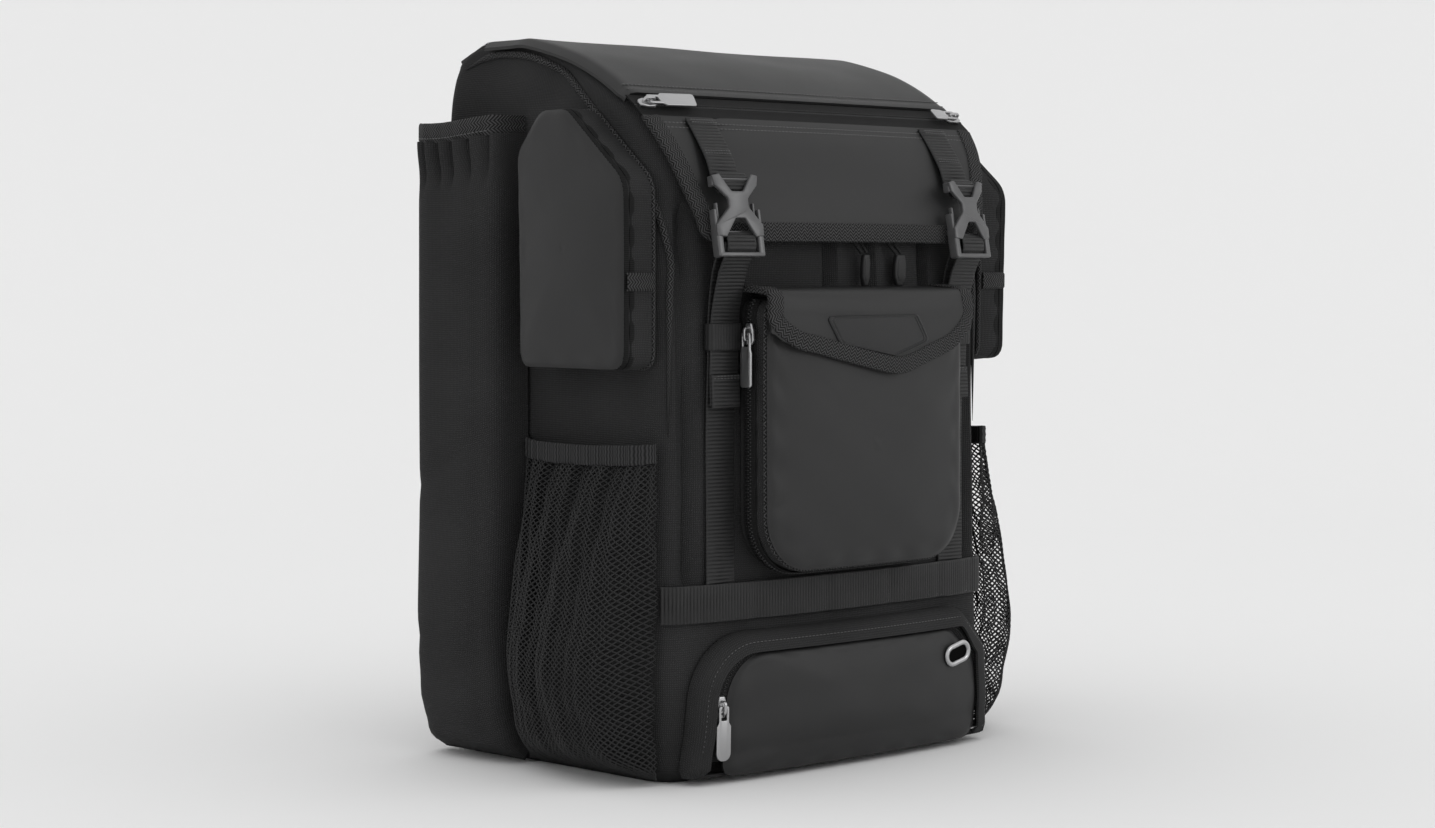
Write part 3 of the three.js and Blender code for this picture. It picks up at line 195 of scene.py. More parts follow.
def mesh_from(name, points, faces, uvs, finish, crease=40):
    """One object from points, faces and the cloth coordinates of each face's corners, in metres."""
    mesh = bpy.data.meshes.new(name)
    mesh.from_pydata(np.asarray(points).tolist(), [], [list(map(int, f)) for f in faces])
    if uvs is not None:
        layer = mesh.uv_layers.new(name="cloth")
        layer.data.foreach_set("uv", np.concatenate([np.asarray(u, float).ravel() for u in uvs]))
    mesh.polygons.foreach_set("use_smooth", [True] * len(mesh.polygons))
    mesh.update()
    mesh.set_sharp_from_angle(angle=math.radians(crease))
    mesh.materials.append(finish)
    piece = bpy.data.objects.new(name, mesh)
    bpy.context.scene.collection.objects.link(piece)
    return piece


def tube(name, path, radius, sides, finish, closed=False, flat=1.0, up=None):
    """A round or flattened cord along a course, closed at both ends."""
    path = np.asarray(path, float)
    count = len(path)
    if closed:
        along = unit(np.roll(path, -1, axis=0) - np.roll(path, 1, axis=0))
    else:
        along = unit(np.gradient(path, axis=0))
    radius = np.broadcast_to(np.asarray(radius, float), (count,))
    rise = np.asarray(up if up is not None else (0.31, 0.22, 0.93), float)
    rise = np.broadcast_to(rise, path.shape)
    across = unit(np.cross(along, rise))
    rise = np.cross(across, along)
    turn = np.linspace(0, 2 * math.pi, sides, endpoint=False)
    rings = (
        path[:, None] + (across[:, None] * np.cos(turn)[None, :, None]) * radius[:, None, None]
        + (rise[:, None] * np.sin(turn)[None, :, None]) * (radius * flat)[:, None, None]
    )
    length = np.concatenate([[0], np.cumsum(np.linalg.norm(np.diff(path, axis=0), axis=1))])
    points = list(rings.reshape(-1, 3))
    faces, uvs = [], []
    steps = count if closed else count - 1
    around = 2 * math.pi * float(radius.max()) / sides
    for j in range(steps):
        nj = (j + 1) % count
        low, high = length[j], length[j] + np.linalg.norm(path[nj] - path[j])
        for i in range(sides):
            ni = (i + 1) % sides
            faces.append((j * sides + i, j * sides + ni, nj * sides + ni, nj * sides + i))
            uvs.append([(i * around, low), ((i + 1) * around, low),
                        ((i + 1) * around, high), (i * around, high)])
    if not closed:
        faces.append(tuple(range(sides))[::-1])
        faces.append(tuple((count - 1) * sides + i for i in range(sides)))
        uvs.extend([[(0, 0)] * sides] * 2)
    return mesh_from(name, points, faces, uvs, finish)


def sew(piece, slot, *nodes, on="bag"):
    """Fastens a finished piece to its body and lets it stand for its solids."""
    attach(piece, on)
    if nodes:
        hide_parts(*nodes)
    return piece


def start_finish(name, colour, roughness, metallic=0.0, gloss=0.5):
    """A new surface finish with its shader, and the node tree to add weave or grain to."""
    finish = bpy.data.materials.new(name)
    finish.use_nodes = True
    finish.diffuse_color = (*colour, 1)
    tree = finish.node_tree
    shader = tree.nodes["Principled BSDF"]
    shader.inputs["Base Color"].default_value = (*colour, 1)
    shader.inputs["Roughness"].default_value = roughness
    shader.inputs["Metallic"].default_value = metallic
    shader.inputs["Specular IOR Level"].default_value = gloss
    return finish, tree, shader


def add_node(tree, kind, settings=None, **inputs):
    node = tree.nodes.new(kind)
    for key, value in (settings or {}).items():
        setattr(node, key, value)
    for key, value in inputs.items():
        socket = node.inputs[int(key[1:])] if key[0] == "i" and key[1:].isdigit() else node.inputs[key]
        if isinstance(value, bpy.types.NodeSocket):
            tree.links.new(value, socket)
        else:
            socket.default_value = value
    return node


def shade_between(tree, shader, factor, dark, light):
    """Lets the colour wander between a dark and a light one."""
    blend = add_node(tree, "ShaderNodeMix", {"data_type": "RGBA"}, i0=factor, i6=(*dark, 1), i7=(*light, 1))
    tree.links.new(blend.outputs[2], shader.inputs["Base Color"])


def roughness_between(tree, shader, factor, low, high):
    spread = add_node(tree, "ShaderNodeMapRange", None, Value=factor, i3=low, i4=high)
    tree.links.new(spread.outputs[0], shader.inputs["Roughness"])


def bump_from(tree, shader, height, strength, distance):
    bump = add_node(tree, "ShaderNodeBump", None, Height=height, Strength=strength, Distance=distance)
    tree.links.new(bump.outputs[0], shader.inputs["Normal"])


def cloth_waves(tree, pitch_u, pitch_v, distortion=0.0):
    """Two sets of threads that cross each other, from the cloth coordinates in metres."""
    at = add_node(tree, "ShaderNodeUVMap", {"uv_map": "cloth"}).outputs[0]
    waves = []
    for direction, pitch in (("X", pitch_u), ("Y", pitch_v)):
        wave = add_node(
            tree, "ShaderNodeTexWave",
            {"wave_type": "BANDS", "bands_direction": direction, "wave_profile": "SIN"},
            Vector=at, Scale=0.314159 / pitch, Distortion=distortion,
        )
        waves.append(wave.outputs["Fac"])
    return at, waves


def cloud(tree, scale, detail=3.0, at=None):
    """Slow change over the piece itself."""
    at = at or add_node(tree, "ShaderNodeTexCoord").outputs["Object"]
    noise = add_node(tree, "ShaderNodeTexNoise", None, Vector=at, Scale=scale, Detail=detail)
    return noise.outputs[0]


def arithmetic(tree, operation, a, b):
    return add_node(tree, "ShaderNodeMath", {"operation": operation}, i0=a, i1=b).outputs[0]


# The two pull cords under the flap are limp braided cord, folded double through the pull of the
# zip that the flap hides. Both ends are held in a moulded end piece.
webbing_black = (0.0125, 0.0125, 0.013)


def braid_finish():
    finish, tree, shader = start_finish("braided_cord", webbing_black, 0.62, gloss=0.2)
    at, (one, two) = cloth_waves(tree, 0.0011, 0.0015)
    height = arithmetic(tree, "MULTIPLY", one, two)
    # Painted shade: the braid is darker in the gaps between its strands and lighter on their crests, following the
    # bump.
    shade_between(tree, shader, height, (0.006, 0.006, 0.006), (0.022, 0.022, 0.023))
    bump_from(tree, shader, height, 0.7, 0.0004)
    return finish


def rubber_finish():
    finish, tree, shader = start_finish("matt_rubber", (0.011, 0.011, 0.0115), 0.5, gloss=0.32)
    grain = cloud(tree, 900, 4)
    roughness_between(tree, shader, grain, 0.4, 0.6)
    bump_from(tree, shader, grain, 0.12, 0.0004)
    return finish


flap_bottom_z = 0.363
cord_diameter = 0.0024
cord_end_length = 0.022
cord_gap = 0.0044
pocket_flap_top_z = 0.322 + cloth_thickness + 2 * seam_gap
cord_low_z = pocket_flap_top_z + 0.007
cord_end_top_z = cord_low_z + cord_end_length
cord_ends = {
    "left": {"x": 0.008, "end_x": 0.014, "half": 0.0036},
    "right": {"x": 0.042, "end_x": 0.050, "half": 0.0056},
}
braid = braid_finish()
rubber = rubber_finish()


def plate_curve(outline, holes, thickness, rounding):
    """A flat moulded or pressed plate with rounded edges, its back face at zero."""
    curve = bpy.data.curves.new("plate", "CURVE")
    curve.dimensions = "2D"
    curve.fill_mode = "BOTH"
    curve.extrude = thickness / 2 - rounding
    curve.bevel_depth = rounding
    curve.bevel_resolution = 2
    curve.offset = -rounding
    for loop in [outline, *holes]:
        spline = curve.splines.new("POLY")
        spline.points.add(len(loop) - 1)
        for point, (x, y) in zip(spline.points, loop):
            point.co = (x, y, 0, 1)
        spline.use_cyclic_u = True
    holder = bpy.data.objects.new("plate", curve)
    bpy.context.scene.collection.objects.link(holder)
    graph = bpy.context.evaluated_depsgraph_get()
    mesh = bpy.data.meshes.new_from_object(holder.evaluated_get(graph))
    bpy.data.objects.remove(holder)
    mesh.transform(Matrix.Translation((0, 0, thickness / 2)))
    return mesh


def joined_mesh(name, meshes, finish, crease=35):
    """Several shapes as one mesh, its doubles merged and its faces turned outwards."""
    import bmesh
    whole = bmesh.new()
    for mesh in meshes:
        whole.from_mesh(mesh)
    bmesh.ops.remove_doubles(whole, verts=whole.verts, dist=1e-6)
    bmesh.ops.recalc_face_normals(whole, faces=whole.faces)
    mesh = bpy.data.meshes.new(name)
    whole.to_mesh(mesh)
    whole.free()
    mesh.polygons.foreach_set("use_smooth", [True] * len(mesh.polygons))
    mesh.set_sharp_from_angle(angle=math.radians(crease))
    mesh.materials.clear()
    mesh.materials.append(finish)
    piece = bpy.data.objects.new(name, mesh)
    bpy.context.scene.collection.objects.link(piece)
    return piece


def basis_at(origin, right, up):
    """The place of a piece that is built flat: right along its x, up along its y."""
    right, out = Vector(unit(right)), Vector(unit(np.cross(right, up)))
    up = out.cross(right)
    turn = Matrix((right, up, out)).transposed().to_4x4()
    turn.translation = Vector(origin)
    return turn


for side, cord in cord_ends.items():
    chosen = on_front(*np.array([
        (cord["end_x"] - 0.002, cord_end_top_z + 0.0009, 0.0074),
        (cord["x"] - 0.001, flap_bottom_z + 0.002, 0.0046),
        (cord["x"], flap_bottom_z + 0.013, 0.0021),
        (cord["x"] + cord_gap, flap_bottom_z + 0.013, 0.0021),
        (cord["x"] + cord_gap + 0.001, flap_bottom_z + 0.002, 0.0046),
        (cord["end_x"] + 0.0034, cord_end_top_z + 0.0009, 0.0074),
    ]).T)
    route = curve_through(chosen, 0.001)
    loop = tube(f"pull_cord_{side}", route, cord_diameter / 2, 8, braid, up=(0, -1, 0))
    half = cord["half"]
    long = cord_end_length
    outline = [
        (-half * 0.5, 0), (half * 0.5, 0), (half, 0.006), (half, long * 0.7), (half * 0.75, long),
        (-half * 0.75, long), (-half, long * 0.7), (-half, 0.006),
    ]
    ridge = [(x * 0.62, 0.0035 + y * 0.7) for x, y in outline]
    body_plate = plate_curve(outline, [], 0.004, 0.0011)
    raised = plate_curve(ridge, [], 0.0046, 0.0004)
    raised.transform(Matrix.Translation((0, 0, -0.0003)))
    end = joined_mesh(f"pull_end_{side}", [body_plate, raised], rubber)
    top = on_front(cord["end_x"] + 0.0007, cord_end_top_z, 0.0074)
    hang = unit(top - on_front(cord["end_x"] + 0.002, cord_low_z, 0.0056))
    place = basis_at(top - hang * long, (1, 0, 0), hang)
    end.data.transform(place @ Matrix.Translation((0, 0, -0.002)))
    sew(loop, "webbing", f"cord_{side}")
    sew(end, "rubber", f"cord_end_{side}")

# The body is a hollow shell of woven polyester, sewn from a front, two sides, a back and a base.
# It stands a little slack: the cloth dips between the pieces that are sewn to it, puckers at its
# corners and folds where the drawstring below the flap pulls it in.
fabric_dark, fabric_light = (0.0115, 0.0115, 0.0117), (0.0460, 0.0460, 0.0467)


def woven_finish(name="woven_polyester", dark=fabric_dark, light=fabric_light, pitch=0.0015, relief=0.0009):
    finish, tree, shader = start_finish(name, dark, 0.86, gloss=0.1)
    at, (warp, weft) = cloth_waves(tree, pitch, pitch, 0.35)
    threads = arithmetic(tree, "MULTIPLY", warp, weft)
    slubs = cloud(tree, 420, 4)
    slow = cloud(tree, 9, 2)
    # Painted shade: the cloth is darker between its threads and lighter on them, following the bump; the slow cloud
    # adds a random change of tone.
    relief_shade_and_tone = arithmetic(tree, "ADD", arithmetic(tree, "MULTIPLY", threads, 0.55), arithmetic(tree, "MULTIPLY", slow, 0.6))
    shade_between(tree, shader, relief_shade_and_tone, dark, light)
    roughness_between(tree, shader, slubs, 0.78, 0.94)
    height = arithmetic(tree, "ADD", threads, arithmetic(tree, "MULTIPLY", slubs, 0.5))
    bump_from(tree, shader, height, 0.55, relief)
    return finish


woven = woven_finish()


def cloth(name, rows, thickness, finish, wrap=False, pole=None, foot=None, crease=40):
    """A walled sheet through rows of points on its inner face. Columns run right and rows run up as
    seen from outside. A wrapped sheet closes round, and a pole or a foot closes its last or first row."""
    rows = np.asarray(rows, float)
    levels, count = rows.shape[:2]
    if wrap:
        ring = np.concatenate([rows[:, -1:], rows, rows[:, :2]], axis=1)
        along = np.gradient(ring, axis=1)[:, 1:-1]
        full = ring[:, 1:-1]
    else:
        full = rows
        along = np.gradient(rows, axis=1)
    rise = np.gradient(full, axis=0)
    normal = unit(np.cross(along, rise))
    u = np.concatenate([np.zeros((levels, 1)), np.cumsum(np.linalg.norm(np.diff(full, axis=1), axis=2), axis=1)], axis=1)
    u = u - u[:, -1:] / 2
    v = np.concatenate([np.zeros((1, full.shape[1])), np.cumsum(np.linalg.norm(np.diff(full, axis=0), axis=2), axis=0)])
    outer = rows + normal[:, :count] * thickness
    inner_points, outer_points = list(rows.reshape(-1, 3)), list(outer.reshape(-1, 3))
    for tip in (foot, pole):
        if tip is not None:
            tip = np.asarray(tip, float)
            edge = 0 if tip is foot else -1
            inner_points.append(tip)
            near = 0 if foot is not None and len(inner_points) == rows[..., 0].size + 1 else -1
            outer_points.append(tip + unit(normal[near].mean(axis=0)) * thickness)
    total = len(inner_points)
    steps = count if wrap else count - 1
    j, i = (a.ravel() for a in np.mgrid[0:levels - 1, 0:steps])
    ni = (i + 1) % count
    quads = np.stack([j * count + i, j * count + ni, (j + 1) * count + ni, (j + 1) * count + i], axis=1)
    corner_uv = np.stack([
        np.stack([u[j, i], v[j, i]], 1), np.stack([u[j, i + 1], v[j, i + 1]], 1),
        np.stack([u[j + 1, i + 1], v[j + 1, i + 1]], 1), np.stack([u[j + 1, i], v[j + 1, i]], 1),
    ], axis=1)
    faces = list(quads + total) + list(quads[:, ::-1])
    uvs = list(corner_uv) + list(corner_uv[:, ::-1])
    edges = []
    for k in range(steps):
        nk = (k + 1) % count
        if foot is None:
            edges.append((k, nk, (u[0, k], v[0, k]), (u[0, k + 1], v[0, k + 1])))
        if pole is None:
            top = (levels - 1) * count
            edges.append((top + nk, top + k, (u[-1, k + 1], v[-1, k + 1]), (u[-1, k], v[-1, k])))
    if not wrap:
        for k in range(levels - 1):
            a, b = k * count, (k + 1) * count
            edges.append((b, a, (u[k + 1, 0], v[k + 1, 0]), (u[k, 0], v[k, 0])))
            edges.append((a + count - 1, b + count - 1, (u[k, -1], v[k, -1]), (u[k + 1, -1], v[k + 1, -1])))
    for a, b, at_a, at_b in edges:
        faces.append((a, b, b + total, a + total))
        uvs.append([at_a, at_b, at_b, at_a])
    spare = rows[..., 0].size
    if foot is not None:
        for k in range(steps):
            nk = (k + 1) % count
            tri = (spare, nk, k)
            faces.extend([tuple(t + total for t in tri), tri[::-1]])
            uvs.extend([[(0, 0), (u[0, k + 1], v[0, k + 1]), (u[0, k], v[0, k])]] * 2)
        spare += 1
    if pole is not None:
        top = (levels - 1) * count
        for k in range(steps):
            nk = (k + 1) % count
            tri = (top + k, top + nk, spare)
            faces.extend([tuple(t + total for t in tri), tri[::-1]])
            mid = ((u[-1, k] + u[-1, k + 1]) / 2, v[-1, k] + 0.002)
            uvs.extend([[(u[-1, k], v[-1, k]), (u[-1, k + 1], v[-1, k + 1]), mid]] * 2)
    return mesh_from(name, inner_points + outer_points, faces, uvs, finish, crease)


def unevenness(points, scale, seed):
    """Slow waves over the cloth, between -1 and 1, the same in each run."""
    x, y, z = (points[..., k] * scale for k in range(3))
    return (
        np.sin(1.7 * x + 0.9 * z + seed) * np.sin(1.3 * z - 0.6 * y + 2.1 * seed)
        + 0.6 * np.sin(2.9 * y + 1.9 * x - 1.1 * z + 0.7 * seed)
        + 0.4 * np.sin(4.3 * z + 3.1 * y + 1.3 * seed) * np.sin(3.7 * x + seed)
    ) / 2.0


def fold(along, centre, width):
    """A soft ridge across a course, 1 on its line."""
    return np.exp(-(((along - centre) / width) ** 2))


def body_ring(z, inset=0.0, front_steps=64, side_steps=44, corner_steps=9):
    front, back, half = (float(body(c, z)) - inset for c in ("front", "back", "half"))
    corner = max(float(body("corner", z)) - inset, 0.004)
    crown = float(body("crown", z))
    flat = half - corner
    ring = []

    def side(x0, y0, x1, y1, steps, bow):
        for t in np.linspace(0, 1, steps + 1):
            ring.append((mix(x0, x1, t), mix(y0, y1, t) - bow * (1 - (2 * t - 1) ** 2)))

    def arc(cx, cy, start):
        for t in np.linspace(0, 1, corner_steps + 1)[1:-1]:
            angle = start + math.pi / 2 * t
            ring.append((cx + corner * math.cos(angle), cy + corner * math.sin(angle)))

    side(-flat, -front, flat, -front, front_steps, crown)
    arc(flat, -front + corner, -math.pi / 2)
    side(half, -front + corner, half, back - corner, side_steps, 0)
    arc(flat, back - corner, 0)
    side(flat, back, -flat, back, front_steps - 10, 0)
    arc(-flat, back - corner, math.pi / 2)
    side(-half, back - corner, -half, -front + corner, side_steps, 0)
    arc(-flat, -front + corner, math.pi)
    ring = np.array(ring)
    return xyz(ring[:, 0], ring[:, 1] + centre_y, z)


body_levels = np.unique(np.concatenate([
    np.linspace(0, 0.03, 8), np.linspace(0.03, 0.4, 76), np.linspace(0.4, bag_height, 34),
]))
shell = np.stack([body_ring(z) for z in body_levels])


def slacken(shell):
    """The cloth's own dips, puckers and folds, laid over the level sections."""
    x, y, z = shell[..., 0], shell[..., 1] - centre_y, shell[..., 2]
    half = body("half", z)
    is_front = smoothstep(0.9, 1.0, -y / np.maximum(body("front", z), 0.001))
    is_side = smoothstep(0.965, 1.0, np.abs(x) / half)
    out = np.zeros_like(x)
    out -= 0.0026 * (0.5 + 0.5 * unevenness(shell * np.array([1, 1, 0.45]), 30, 1.3)) * smoothstep(0.01, 0.05, z)
    below_flap = smoothstep(0.315, 0.335, z) * (1 - smoothstep(0.372, 0.392, z))
    for centre, depth in ((-0.012, 0.0075), (0.0275, 0.0070), (0.088, 0.009)):
        lean = centre + (z - 0.345) * 0.05
        out -= is_front * below_flap * depth * fold(x, lean, 0.0042)
        out += is_front * below_flap * 0.0016 * fold(x, lean + 0.0085, 0.005)
    # a long soft fold runs down each front corner, beside the strap
    corner_run = smoothstep(0.115, 0.145, z) * (1 - smoothstep(0.375, 0.40, z))
    wander = 0.0015 * np.sin(z * 21 + 1.0)
    out -= is_front * corner_run * 0.0080 * fold(np.abs(x), 0.1415 + wander, 0.0052)
    out += is_front * corner_run * 0.0014 * fold(np.abs(x), 0.131 + wander, 0.006)
    # the side's cloth is drawn in above the side pocket
    high_side = is_side * smoothstep(0.445, 0.462, z) * (1 - smoothstep(0.478, 0.492, z))
    out -= high_side * 0.004 * fold(y + 0.4 * z, 0.185, 0.02)
    away = xyz(np.where(is_side > 0.5, np.sign(x), 0.35 * np.sign(x) * smoothstep(0.86, 1.0, np.abs(x) / half)),
               np.sign(y) * (1 - is_side), 0 * z)
    return shell + unit(away) * out[..., None]


shell = slacken(shell)
collar = []
for inset in (0.006, 0.014):
    ring = body_ring(bag_height, inset)
    collar.append(ring)
shell = np.concatenate([shell, np.stack(collar)])
shell_inner = shell.copy()
body_cloth = cloth("body_cloth", shell_inner, 0.0004, woven, wrap=True, foot=(0, centre_y, 0.0))
sew(body_cloth, "woven_fabric", "main_body")

# The lid is one panel of coated cloth from the zip at the front, over the top, to its seam at the
# rear. Its sides are turned under and overhang the body a little.
coated_dark, coated_light = (0.0085, 0.0085, 0.0087), (0.0130, 0.0130, 0.0133)


def coated_finish():
    finish, tree, shader = start_finish("coated_cloth", coated_dark, 0.5, gloss=0.36)
    grain = cloud(tree, 1500, 5)
    patches = cloud(tree, 14, 3)
    shade_between(tree, shader, patches, coated_dark, coated_light)
    roughness_between(tree, shader, patches, 0.46, 0.6)
    at, (warp, weft) = cloth_waves(tree, 0.0009, 0.0009, 0.4)
    under = arithmetic(tree, "MULTIPLY", arithmetic(tree, "MULTIPLY", warp, weft), 0.35)
    bump_from(tree, shader, arithmetic(tree, "ADD", grain, under), 0.16, 0.00025)
    return finish


coated = coated_finish()
lid_half_width = 0.163
lid_zip_z = bag_height * 0.9022
lid_rear_y = 0.066
lid_edge_drop = 0.005
zip_width = 0.015
lid_lift = seam_gap + slope_ease
lid_cap_share = 0.62
lid_shares = (0, 0.16, 0.32, 0.48, 0.62, 0.74, 0.86, 1)


def lid_profile(x):
    """The lid's course from the zip to the rear for one column, before its edge turns down."""
    chosen = []
    for t in lid_shares:
        if t < lid_cap_share:
            v = mix(lid_zip_z + zip_width / 2, bag_height * 0.992, (t / lid_cap_share) ** 0.8)
            chosen.append(on_front(x, v, lid_lift))
        else:
            y = mix(-float(body("front", bag_height)), lid_rear_y, (t - lid_cap_share) / (1 - lid_cap_share))
            chosen.append(xyz(x, y + centre_y, bag_height + lid_lift))
    return curve_through(chosen, 0.0028)


lid_columns = np.concatenate([[-1, -0.997], np.linspace(-0.99, 0.99, 84), [0.997, 1]]) * lid_half_width
profiles = [lid_profile(x) for x in lid_columns]
lid_length = min(len(p) for p in profiles)
lid_rows = np.stack([p[np.linspace(0, len(p) - 1, lid_length).round().astype(int)] for p in profiles], axis=1)
edge_share = np.abs(lid_columns) / lid_half_width
lid_rows[..., 2] -= lid_edge_drop * (smoothstep(0.95, 1.0, edge_share) ** 1.5)[None, :]
share_up = np.linspace(0, 1, lid_length)[:, None]
sag = 0.5 + 0.5 * unevenness(lid_rows, 19, 4.0)
lid_rows[..., 2] -= 0.0013 * sag * (1 - edge_share[None, :] ** 4) * np.sin(math.pi * share_up) ** 0.5
lid_rows[..., 2] += 0.0009 * fold(share_up, 0.02, 0.02)
lid_cloth = cloth("lid_cloth", lid_rows, coated_thickness, coated)
sew(lid_cloth, "coated_fabric", "lid_panel")


# Stitches are short bights of thread that stand on the cloth. A row takes its points from the seam
# that it follows, and each stitch lies along the seam.
def thread_finish():
    finish, tree, shader = start_finish("sewing_thread", (0.027, 0.027, 0.0275), 0.5, gloss=0.5)
    twist = cloud(tree, 2600, 2)
    shade_between(tree, shader, twist, (0.045, 0.045, 0.0455), (0.110, 0.110, 0.111))
    return finish


thread = thread_finish()


def repeat_tree(name, shape):
    """A node tree that sets one small shape on every point, turned along and up by attributes."""
    tree = bpy.data.node_groups.new(name, "GeometryNodeTree")
    face = tree.interface
    face.new_socket("Geometry", in_out="INPUT", socket_type="NodeSocketGeometry")
    for label in ("Length", "Width", "Height"):
        face.new_socket(label, in_out="INPUT", socket_type="NodeSocketFloat")
    face.new_socket("Finish", in_out="INPUT", socket_type="NodeSocketMaterial")
    face.new_socket("Geometry", in_out="OUTPUT", socket_type="NodeSocketGeometry")
    source = tree.nodes.new("NodeGroupInput")
    result = tree.nodes.new("NodeGroupOutput")
    size = add_node(tree, "ShaderNodeCombineXYZ", None, X=source.outputs["Length"],
                    Y=source.outputs["Width"], Z=source.outputs["Height"])
    if shape == "bight":
        grain = add_node(tree, "GeometryNodeMeshUVSphere", None, Segments=6, Rings=4, Radius=0.5)
        turned = add_node(tree, "GeometryNodeTransform", None, Geometry=grain.outputs["Mesh"],
                          Rotation=(0, math.pi / 2, 0))
        small = turned.outputs["Geometry"]
    else:
        grain = add_node(tree, "GeometryNodeMeshCylinder", {"fill_type": "NGON"},
                         Vertices=8, Radius=0.5, Depth=1.0)
        turned = add_node(tree, "GeometryNodeTransform", None, Geometry=grain.outputs["Mesh"],
                          Rotation=(0, math.pi / 2, 0))
        small = turned.outputs["Geometry"]
    along = add_node(tree, "GeometryNodeInputNamedAttribute", {"data_type": "FLOAT_VECTOR"}, Name="along")
    up = add_node(tree, "GeometryNodeInputNamedAttribute", {"data_type": "FLOAT_VECTOR"}, Name="up")
    first = add_node(tree, "FunctionNodeAlignRotationToVector", {"axis": "X"}, Vector=along.outputs[0])
    second = add_node(tree, "FunctionNodeAlignRotationToVector", {"axis": "Z", "pivot_axis": "X"},
                      Rotation=first.outputs[0], Vector=up.outputs[0])
    points = add_node(tree, "GeometryNodeMeshToPoints", None, Mesh=source.outputs["Geometry"])
    placed = add_node(tree, "GeometryNodeInstanceOnPoints", None, Points=points.outputs[0],
                      Instance=small, Rotation=second.outputs[0], Scale=size.outputs[0])
    real = add_node(tree, "GeometryNodeRealizeInstances", None, Geometry=placed.outputs[0])
    smooth = add_node(tree, "GeometryNodeSetShadeSmooth", None, Geometry=real.outputs[0])
    dressed = add_node(tree, "GeometryNodeSetMaterial", None, Geometry=smooth.outputs[0],
                       Material=source.outputs["Finish"])
    tree.links.new(dressed.outputs[0], result.inputs[0])
    return tree


stitch_tree = repeat_tree("stitch_row", "bight")


def plain_result(holder, tree, values, name):
    """Runs a node tree on a holder and keeps its result as a plain mesh."""
    modifier = holder.modifiers.new("repeat", "NODES")
    modifier.node_group = tree
    for socket in tree.interface.items_tree:
        if socket.in_out == "INPUT" and socket.name in values:
            modifier[socket.identifier] = values[socket.name]
    graph = bpy.context.evaluated_depsgraph_get()
    mesh = bpy.data.meshes.new_from_object(holder.evaluated_get(graph))
    bpy.data.objects.remove(holder)
    mesh.name = name
    piece = bpy.data.objects.new(name, mesh)
    bpy.context.scene.collection.objects.link(piece)
    return piece


def set_repeats(name, rows, tree, length, width, height, finish):
    """rows is a list of (points, along, up), one for each seam."""
    points = np.concatenate([r[0] for r in rows])
    mesh = bpy.data.meshes.new(name)
    mesh.from_pydata(points.tolist(), [], [])
    for label, k in (("along", 1), ("up", 2)):
        values = mesh.attributes.new(label, "FLOAT_VECTOR", "POINT")
        field = np.concatenate([np.broadcast_to(r[k], r[0].shape) for r in rows])
        values.data.foreach_set("vector", field.astype(np.float32).ravel())
    holder = bpy.data.objects.new(name, mesh)
    bpy.context.scene.collection.objects.link(holder)
    sizes = {"Length": length, "Width": width, "Height": height, "Finish": finish}
    return plain_result(holder, tree, sizes, name)


def seam(path, up, pitch):
    """Evenly spaced stitch points along a course, with their directions."""
    course = spaced(path, pitch)
    middle = (course[1:] + course[:-1]) / 2
    along = unit(course[1:] - course[:-1])
    if callable(up):
        rise = up(middle)
    else:
        rise = np.broadcast_to(np.asarray(up, float), middle.shape)
    return middle, along, rise


def out_of_front(points):
    """The outward direction of the front, which leans back over the shoulder."""
    v = np.asarray(points)[..., 2]
    slope = (front_y(0 * v, v + 0.004) - front_y(0 * v, v - 0.004)) / 0.008
    return unit(xyz(0 * v, -1, slope))


stitch_pitch = 0.0034
stitch_length = 0.0029
stitch_thickness = 0.0008


def stitches(name, rows, length=stitch_length, thickness=stitch_thickness, slot="webbing"):
    return sew(set_repeats(name, rows, stitch_tree, length, thickness, thickness, thread), slot)


# The zip below the lid is a woven tape with a covered coil. Two lines show where its halves are
# folded, and the coil lifts the tape in fine ribs between them.
def tape_finish():
    finish, tree, shader = start_finish("zip_tape", (0.006, 0.006, 0.0062), 0.7, gloss=0.12)
    at, (warp, weft) = cloth_waves(tree, 0.0008, 0.0013)
    height = arithmetic(tree, "MULTIPLY", warp, weft)
    # Painted shade: the tape is darker between its threads and lighter on them, following the bump.
    shade_between(tree, shader, height, (0.005, 0.005, 0.005), (0.020, 0.020, 0.0204))
    bump_from(tree, shader, height, 0.5, 0.0003)
    return finish


def coil_finish():
    finish, tree, shader = start_finish("nylon_coil", (0.01, 0.01, 0.0105), 0.36, gloss=0.5)
    grain = cloud(tree, 700, 3)
    roughness_between(tree, shader, grain, 0.28, 0.46)
    return finish


tape_black = tape_finish()
coil_black = coil_finish()
zip_thickness = 0.0016
tooth_tree = repeat_tree("coil_row", "tooth")


def band(path, across, up, profile, name, finish, crease=40, wrap=False):
    """A band of cloth along a course. The profile gives (share across, lift) from one side to the other,
    anticlockwise round the whole section seen against the course."""
    path, across, up = (np.asarray(a, float) for a in (path, across, up))
    across = np.broadcast_to(across, path.shape)
    up = np.broadcast_to(up, path.shape)
    profile = np.asarray(profile, float)
    rings = path[:, None] + across[:, None] * profile[None, :, :1] + up[:, None] * profile[None, :, 1:]
    return closed_rings(rings, name, finish, crease, wrap=wrap)


